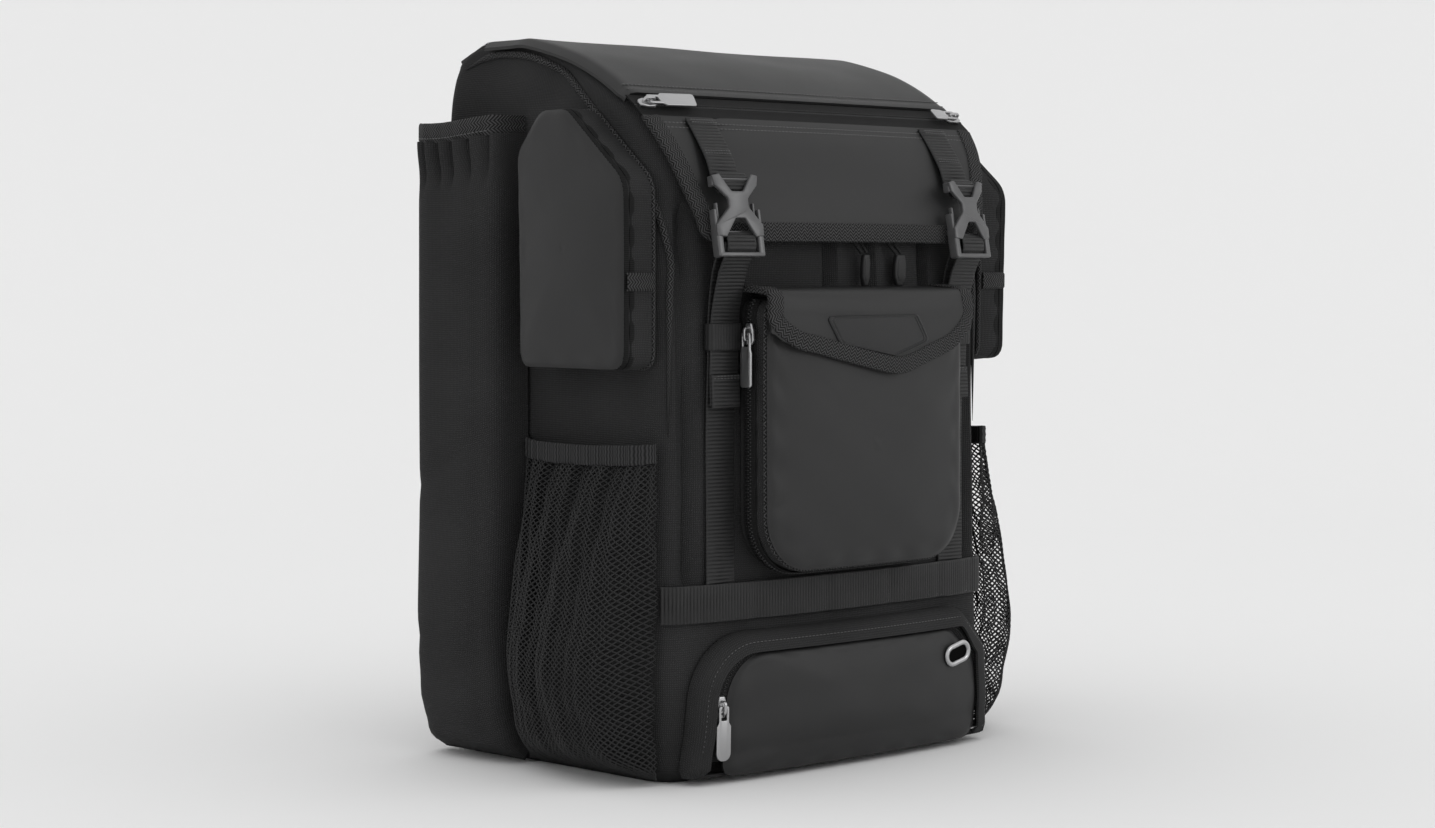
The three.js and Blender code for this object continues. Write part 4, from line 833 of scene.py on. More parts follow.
def closed_rings(rings, name, finish, crease=40, lengthwise=None, wrap=False):
    """A solid through rings of points along a course, closed at both ends or joined to itself."""
    if wrap:
        rings = np.concatenate([rings, rings[:1]])
    rows, sides = rings.shape[:2]
    middle = rings.mean(axis=1)
    run = np.concatenate([[0], np.cumsum(np.linalg.norm(np.diff(middle, axis=0), axis=1))])
    if lengthwise is not None:
        run = lengthwise
    ring = np.concatenate([rings, rings[:, :1]], axis=1)
    girth = np.concatenate([np.zeros((rows, 1)), np.cumsum(np.linalg.norm(np.diff(ring, axis=1), axis=2), axis=1)], axis=1)
    j, i = (a.ravel() for a in np.mgrid[0:rows - 1, 0:sides])
    ni = (i + 1) % sides
    faces = list(np.stack([j * sides + i, j * sides + ni, (j + 1) * sides + ni, (j + 1) * sides + i], axis=1))
    uvs = list(np.stack([
        np.stack([girth[j, i], run[j]], 1), np.stack([girth[j, i + 1], run[j]], 1),
        np.stack([girth[j + 1, i + 1], run[j + 1]], 1), np.stack([girth[j + 1, i], run[j + 1]], 1),
    ], axis=1))
    if wrap:
        last = (rows - 1) * sides
        faces = [tuple(k - last if k >= last else k for k in face) for face in faces]
        rings = rings[:-1]
    else:
        faces.append(tuple(range(sides))[::-1])
        faces.append(tuple((rows - 1) * sides + k for k in range(sides)))
        uvs.extend([[(0, 0)] * sides] * 2)
    return mesh_from(name, rings.reshape(-1, 3), faces, uvs, finish, crease)


def zip_line(name, path, across, up, width, cover, replaced=(), coil=True, on="bag"):
    """A zip: two tapes that meet in a narrow gap, each with a folded edge, and its coil between."""
    path = np.asarray(path, float)
    across = np.broadcast_to(across, path.shape)
    up = np.broadcast_to(up, path.shape)
    thick = zip_thickness * 0.55
    parts = []
    for side in (-1, 1):
        shares = [(0.0005, 0), (0.0005, thick * 1.2), (0.0015, thick * 1.7), (0.003, thick * 1.15),
                  (width / 2 - 0.0004, thick), (width / 2, thick * 0.5), (width / 2 - 0.0004, 0)]
        profile = [(side * a, b) for a, b in shares]
        if side > 0:
            profile = profile[::-1]
        parts.append(band(path, across, up, profile, f"{name}_tape", tape_black))
    tape = parts[0]
    for other in parts[1:]:
        tape = join_pieces(tape, other)
    tape.name = f"{name}_tape"
    sew(tape, "zip_tape", *replaced, on=on)
    if coil:
        points, along, rise = seam(path, (0, 0, 1), 0.00125)
        middle_up = resampled(up, len(points))
        middle_across = resampled(across, len(points))
        shift = np.where(np.arange(len(points)) % 2, 0.0009, -0.0009)[:, None]
        points = points + middle_across * shift + middle_up * (thick * 0.9 if cover else thick * 1.5)
        teeth = set_repeats(f"{name}_coil", [(points, middle_across, middle_up)], tooth_tree,
                            0.0034, 0.00085, 0.0011, coil_black)
        sew(teeth, "zip_tape", on=on)
    return tape


def resampled(values, count):
    at = np.linspace(0, 1, len(values))
    return unit(np.stack([np.interp(np.linspace(0, 1, count), at, values[:, k]) for k in range(3)], axis=1))


def join_pieces(first, second):
    with bpy.context.temp_override(active_object=first, selected_editable_objects=[first, second]):
        bpy.ops.object.join()
    return first


zip_x = np.linspace(-lid_half_width, lid_half_width, 150)
lid_zip_path = on_front(zip_x, lid_zip_z, lid_lift)
lid_out = out_of_front(lid_zip_path)
lid_along = unit(np.gradient(lid_zip_path, axis=0))
lid_across = np.cross(lid_out, lid_along)
zip_line("lid_zip", lid_zip_path, lid_across, lid_out, zip_width + 0.0075, True, ["lid_zip"])
lid_seam_rows = []
for inset in (0.0026, 0.0058):
    line = np.stack([p for p in on_front(zip_x * 0.975, lid_zip_z + zip_width / 2 + inset, lid_lift + coated_thickness)])
    lid_seam_rows.append(seam(line, out_of_front, stitch_pitch))
stitches("lid_stitches", lid_seam_rows, slot="coated_fabric")

# The front flap hangs from the zip. It is coated cloth with a woven tape folded round its edge,
# and two rows of stitching where it meets the zip.
flap_stand_off = 0.009
flap_top_z = lid_zip_z - zip_width / 2
flap_shares = (0.0, 0.06, 0.2, 0.45, 0.75, 1.0)
flap_halves = (0.77, 0.83, 0.87, 0.92, 0.97, 1.0)


def flap_half(share):
    return smooth_table(flap_shares, flap_halves, share) * lid_half_width


def flap_lift(share):
    return seam_gap + slope_ease + flap_stand_off * np.clip(1 - share, 0, None) ** 1.3


def on_flap(u, v, w):
    share = (np.asarray(v) - flap_bottom_z) / (flap_top_z - flap_bottom_z)
    return on_front(u, v, w + flap_lift(share))


flap_v_shares = np.concatenate([np.linspace(0, 0.08, 7), np.linspace(0.1, 1, 34)])
flap_u_shares = np.linspace(-1, 1, 96)
flap_rows = []
for share in flap_v_shares:
    u = flap_u_shares * flap_half(share)
    v = mix(flap_bottom_z, flap_top_z, share)
    dip = 0.0011 * (0.5 + 0.5 * np.sin(u * 55 + 2.2 * share + 0.6)) * math.sin(math.pi * min(share * 1.2, 1))
    dip += 0.0016 * fold(u, -0.155 + 0.05 * share, 0.012) * share
    flap_rows.append(on_flap(u, v, -dip * 0.6))
flap_cloth = cloth("flap_cloth", flap_rows, coated_thickness, coated)
sew(flap_cloth, "coated_fabric", "flap_panel")


def twill_finish():
    """Herringbone tape: slanting ribs that turn about in narrow rows."""
    finish, tree, shader = start_finish("binding_tape", (0.011, 0.011, 0.0112), 0.72, gloss=0.12)
    at = add_node(tree, "ShaderNodeUVMap", {"uv_map": "cloth"}).outputs[0]
    parts = add_node(tree, "ShaderNodeSeparateXYZ", None, Vector=at)
    turned = arithmetic(tree, "PINGPONG", parts.outputs[1], 0.0028)
    slant = arithmetic(tree, "ADD", turned, parts.outputs[0])
    ribs = arithmetic(tree, "SINE", arithmetic(tree, "MULTIPLY", slant, 2 * math.pi / 0.0024), 0.0)
    height = arithmetic(tree, "MULTIPLY", arithmetic(tree, "ADD", ribs, 1.0), 0.5)
    # Painted shade and highlight: the ribs' grooves are darker and their crests much lighter, following the bump.
    shade_between(tree, shader, height, (0.0060, 0.0060, 0.0061), (0.0660, 0.0660, 0.0668))
    bump_from(tree, shader, height, 0.9, 0.0008)
    return finish


twill = twill_finish()
binding_width = 0.012
binding_rise = 0.0012


def edge_across(path, up):
    """The direction to the right of a course, in the face of the cloth."""
    return unit(np.cross(unit(np.gradient(np.asarray(path), axis=0)), up))


def bound_edge(name, path, up, outward, width, cloth_wall, finish=twill, replaced=(), slot="webbing"):
    """Tape folded round the edge of a cloth. The path runs along the middle of its front half, and
    outward is 1 where the cloth's edge lies to the right of the path."""
    right = edge_across(path, up)
    across = right * outward
    half = width / 2
    back = -cloth_wall - 0.0016
    profile = [(-half, 0), (-half + 0.0006, binding_rise * 0.8), (-half * 0.4, binding_rise), (half * 0.5, binding_rise),
               (half + 0.0006, binding_rise * 0.45), (half + 0.0013, -0.0009), (half + 0.0008, back * 0.85),
               (half * 0.5, back), (-half * 0.1, back), (-half * 0.1, back + 0.0008), (half * 0.4, back + 0.0008),
               (half - 0.0006, back * 0.6), (half - 0.0006, -0.0002)]
    if outward < 0:
        profile = profile[::-1]
    return sew(band(path, across, up, profile, name, finish), slot, *replaced)


def flap_edge(side, shares):
    return [(side * (flap_half(s) - binding_width / 2 - 0.001), mix(flap_bottom_z, flap_top_z, s)) for s in shares]


flap_edge_low = flap_bottom_z + binding_width / 2 + 0.0005
flap_edge_points = (
    flap_edge(-1, (0.99, 0.8, 0.6, 0.4, 0.2, 0.1))
    + [(x * lid_half_width, flap_edge_low) for x in (-0.715, -0.6, -0.3, 0, 0.3, 0.6, 0.715)]
    + flap_edge(1, (0.1, 0.2, 0.4, 0.6, 0.8, 0.99))
)
flap_edge_line = curve_through([(u, v, 0) for u, v in flap_edge_points], 0.0022)
binding_lift = coated_thickness + seam_gap * 0.3
flap_edge_path = on_flap(flap_edge_line[:, 0], flap_edge_line[:, 1], binding_lift)
flap_edge_up = out_of_front(flap_edge_path)
bound_edge("flap_edge_tape", flap_edge_path, flap_edge_up, 1, binding_width, coated_thickness,
           replaced=["flap_binding"])
top_rows = []
for drop in (0.0045, 0.0078):
    u = np.linspace(-0.95, 0.95, 200) * lid_half_width
    top_rows.append(seam(on_flap(u, flap_top_z - drop, coated_thickness), out_of_front, stitch_pitch))
stitches("flap_stitches", top_rows, slot="coated_fabric")

# Straps are ribbed webbing. Its ribs cross the width, and both edges are a narrow plain selvedge.
rib_pitch = 0.0026
rib_height = 0.0007


def webbing_finish():
    finish, tree, shader = start_finish("ribbed_webbing", webbing_black, 0.5, gloss=0.32)
    at, (fine, cords) = cloth_waves(tree, 0.0009, rib_pitch)
    slow = cloud(tree, 60, 3)
    fibre = cloud(tree, 1800, 3)
    ribs = arithmetic(tree, "POWER", cords, 0.7)
    # Painted shade and highlight: the webbing is darker in the valleys between the ribs and lighter on their crests, in
    # step with the ribs' real relief; the slow cloud adds a random change of tone.
    relief_shade_and_tone = arithmetic(tree, "MULTIPLY", arithmetic(tree, "ADD", arithmetic(tree, "MULTIPLY", slow, 0.7), ribs), 0.6)
    shade_between(tree, shader, relief_shade_and_tone, (0.0018, 0.0018, 0.0019), (0.0210, 0.0210, 0.0214))
    roughness_between(tree, shader, fibre, 0.42, 0.66)
    bump_from(tree, shader, arithmetic(tree, "ADD", fine, fibre), 0.35, 0.0002)
    return finish


ribbed = webbing_finish()
webbing_width = 0.026
webbing_thickness = 0.0016

# The two flap straps are sewn under the zip and end in a loop round the top bar of each buckle.
strap_centre_x = 0.116
band_width = 0.026
band_centre_z = 0.1205
binding_thickness = 0.0036
flap_strap_lift = coated_thickness + binding_thickness / 3 + 2 * seam_gap
buckle_width, buckle_height, buckle_thickness = 0.040, 0.054, 0.0084
buckle_bottom_z = flap_bottom_z - 0.009
buckle_top_z = buckle_bottom_z + buckle_height
across_front = np.array([1.0, 0.0, 0.0])
body_faces = BVHTree.FromObject(body_cloth, bpy.context.evaluated_depsgraph_get())


def mirrored(piece, name):
    """The same piece on the other side of the bag."""
    mesh = piece.data.copy()
    mesh.name = name
    mesh.transform(Matrix.Diagonal((-1, 1, 1, 1)))
    mesh.flip_normals()
    twin = bpy.data.objects.new(name, mesh)
    bpy.context.scene.collection.objects.link(twin)
    return twin


def sew_pair(piece, slot, *stems):
    """Names a left piece, makes the right one, and lets both stand for their solids."""
    base = piece.name
    twin = mirrored(piece, f"{base}_right")
    piece.name = f"{base}_left"
    sew(piece, slot, *[f"{stem}_left" for stem in stems])
    sew(twin, slot, *[f"{stem}_right" for stem in stems])
    return piece, twin


def webbing_pair(name, centre_line, stems=(), **sizes):
    """Webbing on both sides of the bag."""
    left = webbing_piece(f"{name}_left", centre_line, **sizes)
    right = mirrored(left, f"{name}_right")
    for side, piece in (("left", left), ("right", right)):
        sew(piece, "webbing", *[f"{stem}_{side}" for stem in stems])
    return left, right


def webbing_piece(name, centre_line, across=across_front, width=webbing_width, thickness=webbing_thickness,
                  ribs=rib_height, selvedge=0.0012, crease=60):
    """A length of webbing along the middle of its section, with its ribs as real relief."""
    path = spaced(centre_line, rib_pitch / 5)
    if np.ndim(across) == 1:
        across = np.broadcast_to(unit(across), path.shape)
    else:
        across = resampled(np.asarray(across, float), len(path))
    along = unit(np.gradient(path, axis=0))
    out = unit(np.cross(across, along))
    run = np.concatenate([[0], np.cumsum(np.linalg.norm(np.diff(path, axis=0), axis=1))])
    rib = ribs * np.abs(np.sin(math.pi * run / rib_pitch)) ** 0.7
    half, wall = width / 2, thickness / 2
    shares = [
        (-half, 0.25, 0), (-half + selvedge * 0.4, 0.9, 0), (-half + selvedge, 0.9, 0.2),
        (-half + selvedge * 1.6, 1, 1), (0, 1.05, 1), (half - selvedge * 1.6, 1, 1),
        (half - selvedge, 0.9, 0.2), (half - selvedge * 0.4, 0.9, 0), (half, 0.25, 0),
    ]
    ring = [(a, -1, b, c) for a, b, c in shares] + [(a, 1, b, c) for a, b, c in shares[::-1]]
    rings = np.stack([
        path + across * a + out * (side * (wall * b + rib * c - ribs * 0.6 * c))[:, None]
        for a, side, b, c in ring
    ], axis=1)
    return closed_rings(rings, name, ribbed, crease, run)


def front_course(points, u=-strap_centre_x, place=on_front, step=0.001, lift=webbing_thickness / 2):
    """A strap's course from chosen heights and lifts of its lower face."""
    v, w = np.asarray(points, float).T
    return curve_through(place(np.full_like(v, u), v, w + lift), step)


flap_strap_points = [
    (buckle_top_z - 0.005, flap_strap_lift + 0.0006),
    (buckle_top_z + 0.006, flap_strap_lift),
    (mix(buckle_top_z, flap_top_z, 0.6), coated_thickness + seam_gap),
    (flap_top_z - 0.002, coated_thickness + seam_gap),
]
webbing_pair("flap_webbing", front_course(flap_strap_points, place=on_flap), ["flap_strap"])

# The front straps rise from the band to the buckles, fold over the buckle's lower bar and hang back
# down as tails, held by a keeper of the same webbing.
front_strap_bottom_z = band_centre_z + band_width / 2 + seam_gap
buckle_lift = flap_stand_off + flap_strap_lift + webbing_thickness + 0.0016
keeper_height, keeper_wall = 0.018, 0.0013
fold_z = buckle_bottom_z + 0.0035
keeper_z = fold_z - 0.058
tail_end_z = keeper_z - 0.0473
keeper_floor = seam_gap + keeper_wall + 0.0005
keeper_depth = 2 * webbing_thickness + 2 * keeper_wall + 0.0024
rise_points = [
    (front_strap_bottom_z - 0.006, seam_gap),
    (mix(front_strap_bottom_z, fold_z, 0.25), seam_gap),
    (mix(front_strap_bottom_z, fold_z, 0.45), seam_gap),
    (keeper_z - keeper_height * 0.7, keeper_floor),
    (keeper_z + keeper_height * 0.7, keeper_floor),
    (fold_z - 0.014, buckle_lift * 0.42),
    (fold_z, buckle_lift * 0.8),
    (fold_z + 0.006, buckle_lift * 0.98),
]
webbing_pair("strap_rise", front_course(rise_points), ["front_strap"])
tail_points = [
    (fold_z + 0.004, buckle_lift + 0.0028),
    (fold_z - 0.003, buckle_lift + 0.0026),
    (fold_z - 0.016, buckle_lift * 0.62 + 0.0024),
    (keeper_z + keeper_height * 0.7, keeper_floor + 2 * webbing_thickness - 0.0002),
    (keeper_z - keeper_height * 0.7, keeper_floor + 2 * webbing_thickness - 0.0008),
    (tail_end_z + 0.022, 0.0046),
    (tail_end_z + 0.001, 0.0052),
]
webbing_pair("strap_tail", front_course(tail_points))
tail_hem_points = [(tail_end_z + 0.022, 0.0062), (tail_end_z + 0.012, 0.0066), (tail_end_z, 0.0070)]
webbing_pair("tail_hem", front_course(tail_hem_points))
hem_across = np.linspace(-0.0115, 0.0115, 12)
hem_line = on_front(-strap_centre_x + hem_across, tail_end_z + 0.0195, 0.0086)
hem_rows = [seam(hem_line, (0, -1, 0), 0.0028), seam(hem_line + np.array([0, 0, 0.0016]), (0, -1, 0), 0.0028)]
sew_pair(set_repeats("tail_stitches", hem_rows, stitch_tree, 0.0024, 0.0007, 0.0007, thread), "webbing")

keeper_place = on_front(-strap_centre_x, keeper_z, keeper_depth / 2 + seam_gap)
keeper_half = webbing_width / 2 + seam_gap + keeper_wall / 2
keeper_reach = keeper_depth / 2 - keeper_wall / 2
keeper_corner = 0.0022
keeper_course = []
for cx, cy, start in ((1, -1, -90), (1, 1, 0), (-1, 1, 90), (-1, -1, 180)):
    for k in range(5):
        angle = math.radians(start + 90 * k / 4)
        keeper_course.append((cx * (keeper_half - keeper_corner) + keeper_corner * math.cos(angle),
                              cy * (keeper_reach - keeper_corner) + keeper_corner * math.sin(angle)))
keeper_course = np.array(keeper_course + keeper_course[:1])
keeper_line = keeper_place + np.stack([keeper_course[:, 0], keeper_course[:, 1], 0 * keeper_course[:, 0]], axis=1)
keeper = webbing_piece("strap_loop", keeper_line, across=(0, 0, 1), width=keeper_height, thickness=keeper_wall,
                       ribs=0.00022)
sew_pair(keeper, "webbing", "strap_keeper")

# Each buckle is moulded in satin plastic. A crossed plate with two horns clips over a frame, whose
# lower lip stands proud in front of the folded strap.


def buckle_finish():
    finish, tree, shader = start_finish("satin_buckle", (0.105, 0.105, 0.107), 0.36, 0.35)
    grain = cloud(tree, 1300, 4)
    wear = cloud(tree, 120, 4)
    roughness_between(tree, shader, wear, 0.27, 0.42)
    shade_between(tree, shader, wear, (0.075, 0.075, 0.0765), (0.105, 0.105, 0.107))
    bump_from(tree, shader, grain, 0.06, 0.0002)
    return finish


satin = buckle_finish()
loop_lift = buckle_lift + 0.0006
buckle_low = on_front(-strap_centre_x, fold_z - 0.002, loop_lift)
buckle_high = on_flap(-strap_centre_x, buckle_top_z, flap_strap_lift + webbing_thickness + 0.002)
buckle_up = unit(buckle_high - buckle_low)
strap_across = unit(on_front(-strap_centre_x + 0.005, fold_z, 0) - on_front(-strap_centre_x - 0.005, fold_z, 0))
buckle_place = basis_at(buckle_low, strap_across, buckle_up)


def rounded(corners, steps=5):
    """An outline with round corners. Each corner is x, y and its radius."""
    outline = []
    for k, (x, y, r) in enumerate(corners):
        here = np.array([x, y], float)
        before, after = np.array(corners[k - 1][:2]), np.array(corners[(k + 1) % len(corners)][:2])
        if r <= 0:
            outline.append(here)
            continue
        back, ahead = unit(before - here), unit(after - here)
        half_angle = math.acos(np.clip(back @ ahead, -1, 1)) / 2
        reach = r / math.tan(half_angle)
        centre = here + unit(back + ahead) * r / math.sin(half_angle)
        start = here + back * reach - centre
        turn = math.pi - 2 * half_angle
        sign = 1 if back[0] * ahead[1] - back[1] * ahead[0] < 0 else -1
        for i in range(steps + 1):
            a = sign * turn * i / steps
            outline.append(centre + np.array([start[0] * math.cos(a) - start[1] * math.sin(a),
                                              start[0] * math.sin(a) + start[1] * math.cos(a)]))
    return np.array(outline)


plate_low, plate_high = 0.0085, buckle_height - 0.004
buckle_half = buckle_width / 2
cross_corners = [
    (-1, 0.02, 0.5), (-0.64, 0.0, 0.6), (-0.2, 0.3, 1.6), (0.2, 0.3, 1.6), (0.64, 0.0, 0.6), (1, 0.02, 0.5),
    (1, 0.2, 1.2), (0.42, 0.48, 3.0), (0.42, 0.62, 3.0), (0.9, 0.84, 1.2), (0.98, 1.0, 0.9), (0.7, 1.02, 0.8),
    (0.26, 0.74, 2.2), (-0.26, 0.74, 2.2), (-0.7, 1.02, 0.8), (-0.98, 1.0, 0.9), (-0.9, 0.84, 1.2),
    (-0.42, 0.62, 3.0), (-0.42, 0.48, 3.0), (-1, 0.2, 1.2),
]
cross_outline = rounded([(x * buckle_half, mix(plate_low, plate_high, y), r * 0.001) for x, y, r in cross_corners], 4)
cross_mesh = plate_curve(cross_outline, [], 0.0030, 0.0008)
cross_mesh.transform(Matrix.Translation((0, 0, buckle_thickness * 0.62)))
for vertex in cross_mesh.vertices:
    vertex.co.z += 0.0012 * (1 - (vertex.co.x / buckle_half) ** 2) - 0.0016 * max(0, (0.012 - vertex.co.y) / 0.012)


def bar_mesh(width, depth, height, x, y, z, rounding=0.0007):
    """A short moulded bar with rounded edges, round its own centre."""
    corners = [(-width / 2, -depth / 2, rounding), (width / 2, -depth / 2, rounding),
               (width / 2, depth / 2, rounding), (-width / 2, depth / 2, rounding)]
    bar = plate_curve(rounded(corners, 3), [], height, rounding * 0.8)
    bar.transform(Matrix.Translation((x, y, z - height / 2)))
    return bar


buckle_inner = webbing_width / 2 + 0.0008
rail_width = buckle_half - buckle_inner
socket_parts = [cross_mesh, bar_mesh(2 * buckle_inner + 0.002, 0.003, 0.0028, 0, plate_high - 0.003, buckle_thickness * 0.62)]
for side in (-1, 1):
    socket_parts.append(bar_mesh(0.0022, 0.020, 0.0058, side * (buckle_half - 0.0011), 0.0175, 0.0036))
    socket_parts.append(bar_mesh(0.0032, 0.007, 0.0052, side * (buckle_half - 0.0026), plate_high - 0.0035, 0.0040))
socket = joined_mesh("buckle_cross", socket_parts, satin)
socket.data.transform(buckle_place)
sew_pair(socket, "buckle_plastic", "buckle_socket")
prong_parts = [bar_mesh(buckle_width - 0.001, 0.0030, 0.0044, 0, -0.0030, 0.0052, 0.0012),
               bar_mesh(buckle_width - 0.004, 0.0026, 0.0020, 0, 0.0125, 0.0006)]
for side in (-1, 1):
    x = side * (buckle_inner + rail_width / 2 + 0.0006)
    prong_parts.append(bar_mesh(rail_width * 0.8, 0.0200, 0.0074, x, 0.0056, 0.0036, 0.0013))
    prong_parts.append(bar_mesh(0.0016, 0.024, 0.0030, side * (buckle_half - 0.0042), 0.020, 0.0034))
prong = joined_mesh("buckle_frame", prong_parts, satin)
prong.data.transform(buckle_place)
sew_pair(prong, "buckle_plastic", "buckle_prong")

# Webbing shows in both ends of the buckle, rolled round its bars.


def rolled_loop(name, centre_y_up, out, half_high, half_deep):
    turn = np.linspace(0, 2 * math.pi, 41)
    local = np.stack([0 * turn, centre_y_up + half_high * np.sin(turn), out + half_deep * np.cos(turn)], axis=1)
    line = np.array([buckle_place @ Vector(p) for p in local])
    return webbing_piece(name, line, across=strap_across, width=webbing_width - 0.0012, thickness=0.0013)


sew_pair(rolled_loop("upper_roll", plate_high - 0.0045, 0.0034, 0.0062, 0.0026), "webbing")
sew_pair(rolled_loop("lower_roll", 0.0052, 0.0040, 0.0064, 0.0034), "webbing")

# A single band of webbing crosses the front. It is sewn down in four places, so it lies in three
# flat loops, and a boxed seam holds it at the right.
front_half = float(body("half", band_centre_z)) - 0.024
band_reach = front_half + 0.0185
band_x = np.linspace(-band_reach, band_reach, 300)
tacks = (-0.134, -0.085, -0.020, 0.045, 0.100, 0.134)
band_loft = np.full_like(band_x, 0.0016)
for tack in tacks:
    band_loft -= 0.0014 * fold(band_x, tack, 0.006)
band_hits = np.array([body_faces.ray_cast(Vector((x, -0.5, band_centre_z)), Vector((0, 1, 0)))[0] for x in band_x])
band_smooth = on_front(band_x, band_centre_z, 0)
turning = smoothstep(front_half - 0.004, front_half + 0.004, np.abs(band_x))[:, None]
band_line = mix(band_smooth, band_hits, turning)
band_out = unit(np.cross(unit(np.gradient(band_line, axis=0)), (0, 0, 1)))
band_line = band_line + band_out * (seam_gap + webbing_thickness / 2 + band_loft * 0.7 + 0.0008)[:, None]
band_piece = webbing_piece("cross_band", band_line, across=(0, 0, -1), width=band_width)
sew(band_piece, "webbing", "front_band")
tack_rows = []
band_top = seam_gap + webbing_thickness + 0.0005
for tack in tacks:
    heights = np.linspace(-0.0115, 0.0115, 12) + band_centre_z
    for shift in (-0.0008, 0.0008):
        tack_rows.append(seam(on_front(np.full(12, tack + shift), heights, band_top), (0, -1, 0), 0.0024))
for side in (-0.0112, 0.0112):
    line = on_front(np.linspace(0.102, 0.135, 20), band_centre_z + side, band_top + 0.0003)
    tack_rows.append(seam(line, (0, -1, 0), 0.0026))
stitches("band_stitches", tack_rows, 0.0022, 0.0006)
strap_tacks = []
for u in (-strap_centre_x, strap_centre_x):
    for lift_v in (flap_top_z - 0.0045, flap_top_z - 0.0062, buckle_top_z + 0.0105, buckle_top_z + 0.0122):
        line = on_flap(u + np.linspace(-0.0115, 0.0115, 12), lift_v, flap_strap_lift + webbing_thickness * 0.9)
        strap_tacks.append(seam(line, out_of_front, 0.0022))
stitches("strap_stitches", strap_tacks, 0.0021, 0.0007)

# The front pocket stands off the bag on a band of woven cloth. A zip runs round the band, and the
# face is one piece of coated cloth, crowned by what the pocket holds.
pocket_half = 0.095
pocket_low_z, pocket_top_z = 0.143, flap_bottom_z - 0.041
pocket_depth, pocket_corner, pocket_crown = 0.025, 0.034, 0.006


def grown(outline, grow):
    """The same outline moved outward, with its points kept in step."""
    along = unit(np.roll(outline, -1, axis=0) - np.roll(outline, 1, axis=0))
    return outline + np.stack([along[:, 1], -along[:, 0]], axis=1) * grow


def ring_at(outline, w, place):
    return place(outline[:, 0], outline[:, 1], w)


pocket_outline = spaced(rounded([
    (-pocket_half, pocket_low_z, pocket_corner), (pocket_half, pocket_low_z, pocket_corner),
    (pocket_half, pocket_top_z, 0.008), (-pocket_half, pocket_top_z, 0.008),
], 12), 0.0032, closed=True)


def gusset(name, outline, depth, place, belly=0.0015, finish=None):
    """The band of cloth between the bag and a pocket's face."""
    rows = []
    for t in np.linspace(0, 1, 13):
        bulge = belly * math.sin(math.pi * t)
        pucker = 0.0005 * np.sin(np.arange(len(outline)) * 0.9) * math.sin(math.pi * t)
        line = grown(outline, bulge) + (grown(outline, 1.0) - outline) * pucker[:, None]
        rows.append(ring_at(line, mix(seam_gap, depth, t), place))
    return cloth(name, rows, cloth_thickness, finish or woven, wrap=True)


def pocket_face(name, outline, depth, crown, centre, place, ripple=0.0006, edge_round=0.0022, seed=1.0):
    """A pocket's face, turned in at its seam and crowned towards the middle."""
    edge = grown(outline, cloth_thickness)
    centre = np.asarray(centre)
    shares = np.concatenate([[1.0, 0.998, 0.992, 0.984, 0.972, 0.955], np.linspace(0.93, 0.03, 26)])
    rows = []
    for share in shares:
        line = (edge - centre) * share + centre
        rise = crown * (1 - share ** 2.4)
        turned = edge_round * (1 - smoothstep(0.955, 1.0, share)) - edge_round
        wave = ripple * np.sin(np.arange(len(line)) * 0.62 + seed) * fold(share, 0.93, 0.05)
        broad = 0.0009 * unevenness(xyz(line[:, 0], 0 * line[:, 0], line[:, 1]), 30, seed) * smoothstep(1.0, 0.8, share)
        rows.append(ring_at(line, depth + seam_gap + rise + turned * 0.6 + wave + broad, place))
    return cloth(name, rows, coated_thickness, coated, wrap=True,
                 pole=place(centre[0], centre[1], depth + seam_gap + crown))


sew(gusset("pocket_side_cloth", pocket_outline, pocket_depth, on_front), "woven_fabric", "front_pocket_gusset")
pocket_centre = (0.0, mix(pocket_low_z, pocket_top_z, 0.45))
face = pocket_face("pocket_front_cloth", pocket_outline, pocket_depth, pocket_crown, pocket_centre, on_front)
sew(face, "coated_fabric", "front_pocket_face")
zip_outline = grown(pocket_outline, cloth_thickness + seam_gap + 0.0017)
pocket_zip_path = ring_at(zip_outline, pocket_depth * 0.55 - 0.0015, on_front)
pocket_zip_path = np.concatenate([pocket_zip_path, pocket_zip_path[:1]])
start_at = int(np.argmin(np.abs(pocket_zip_path[:, 2] - pocket_top_z) + np.abs(pocket_zip_path[:, 0] + pocket_half)))
order = np.roll(np.arange(len(pocket_zip_path) - 1), -start_at)
pocket_zip_path = spaced(pocket_zip_path[order], 0.002)
zip_up = unit(np.cross(unit(np.gradient(pocket_zip_path, axis=0)), (0, -1, 0)))
zip_line("pocket_zip", pocket_zip_path, (0, -1, 0), zip_up, zip_width - 0.0035, False, ["front_pocket_zip"])
piping_path = spaced(ring_at(grown(pocket_outline, cloth_thickness + 0.0004), pocket_depth - 0.0006, on_front), 0.003, True)
sew(tube("pocket_piping", piping_path, 0.0014, 8, twill, closed=True, up=(0, -1, 0)), "webbing")

# The pocket's flap starts on the bag, bends over the pocket and hangs to a blunt point right of the
# middle. Its edge is bound with the same folded tape.
flap_drop, pocket_flap_half, tip_x = 0.052, 0.100, 0.020
pocket_flap_lift = pocket_depth + pocket_crown + coated_thickness + 2 * seam_gap


def pocket_flap_drop(x):
    side = np.where(x < tip_x, -1, 1)
    reach = np.sqrt((x - tip_x) ** 2 + 0.006 ** 2) / (pocket_flap_half - side * tip_x)
    return flap_drop * (1.012 - 0.5 * reach ** 1.1) * (1 - 0.14 * smoothstep(0.88, 1.0, np.abs(x) / pocket_flap_half))


def on_pocket_flap(u, v, w):
    t = (pocket_flap_top_z - 0.010 - np.asarray(v)) / (pocket_flap_top_z - pocket_low_z)
    side_fall = 0.0035 * np.abs(np.asarray(u) / pocket_flap_half) ** 2
    return on_front(u, v, pocket_flap_lift - side_fall - 0.008 * np.maximum(t, 0) ** 2 + w)


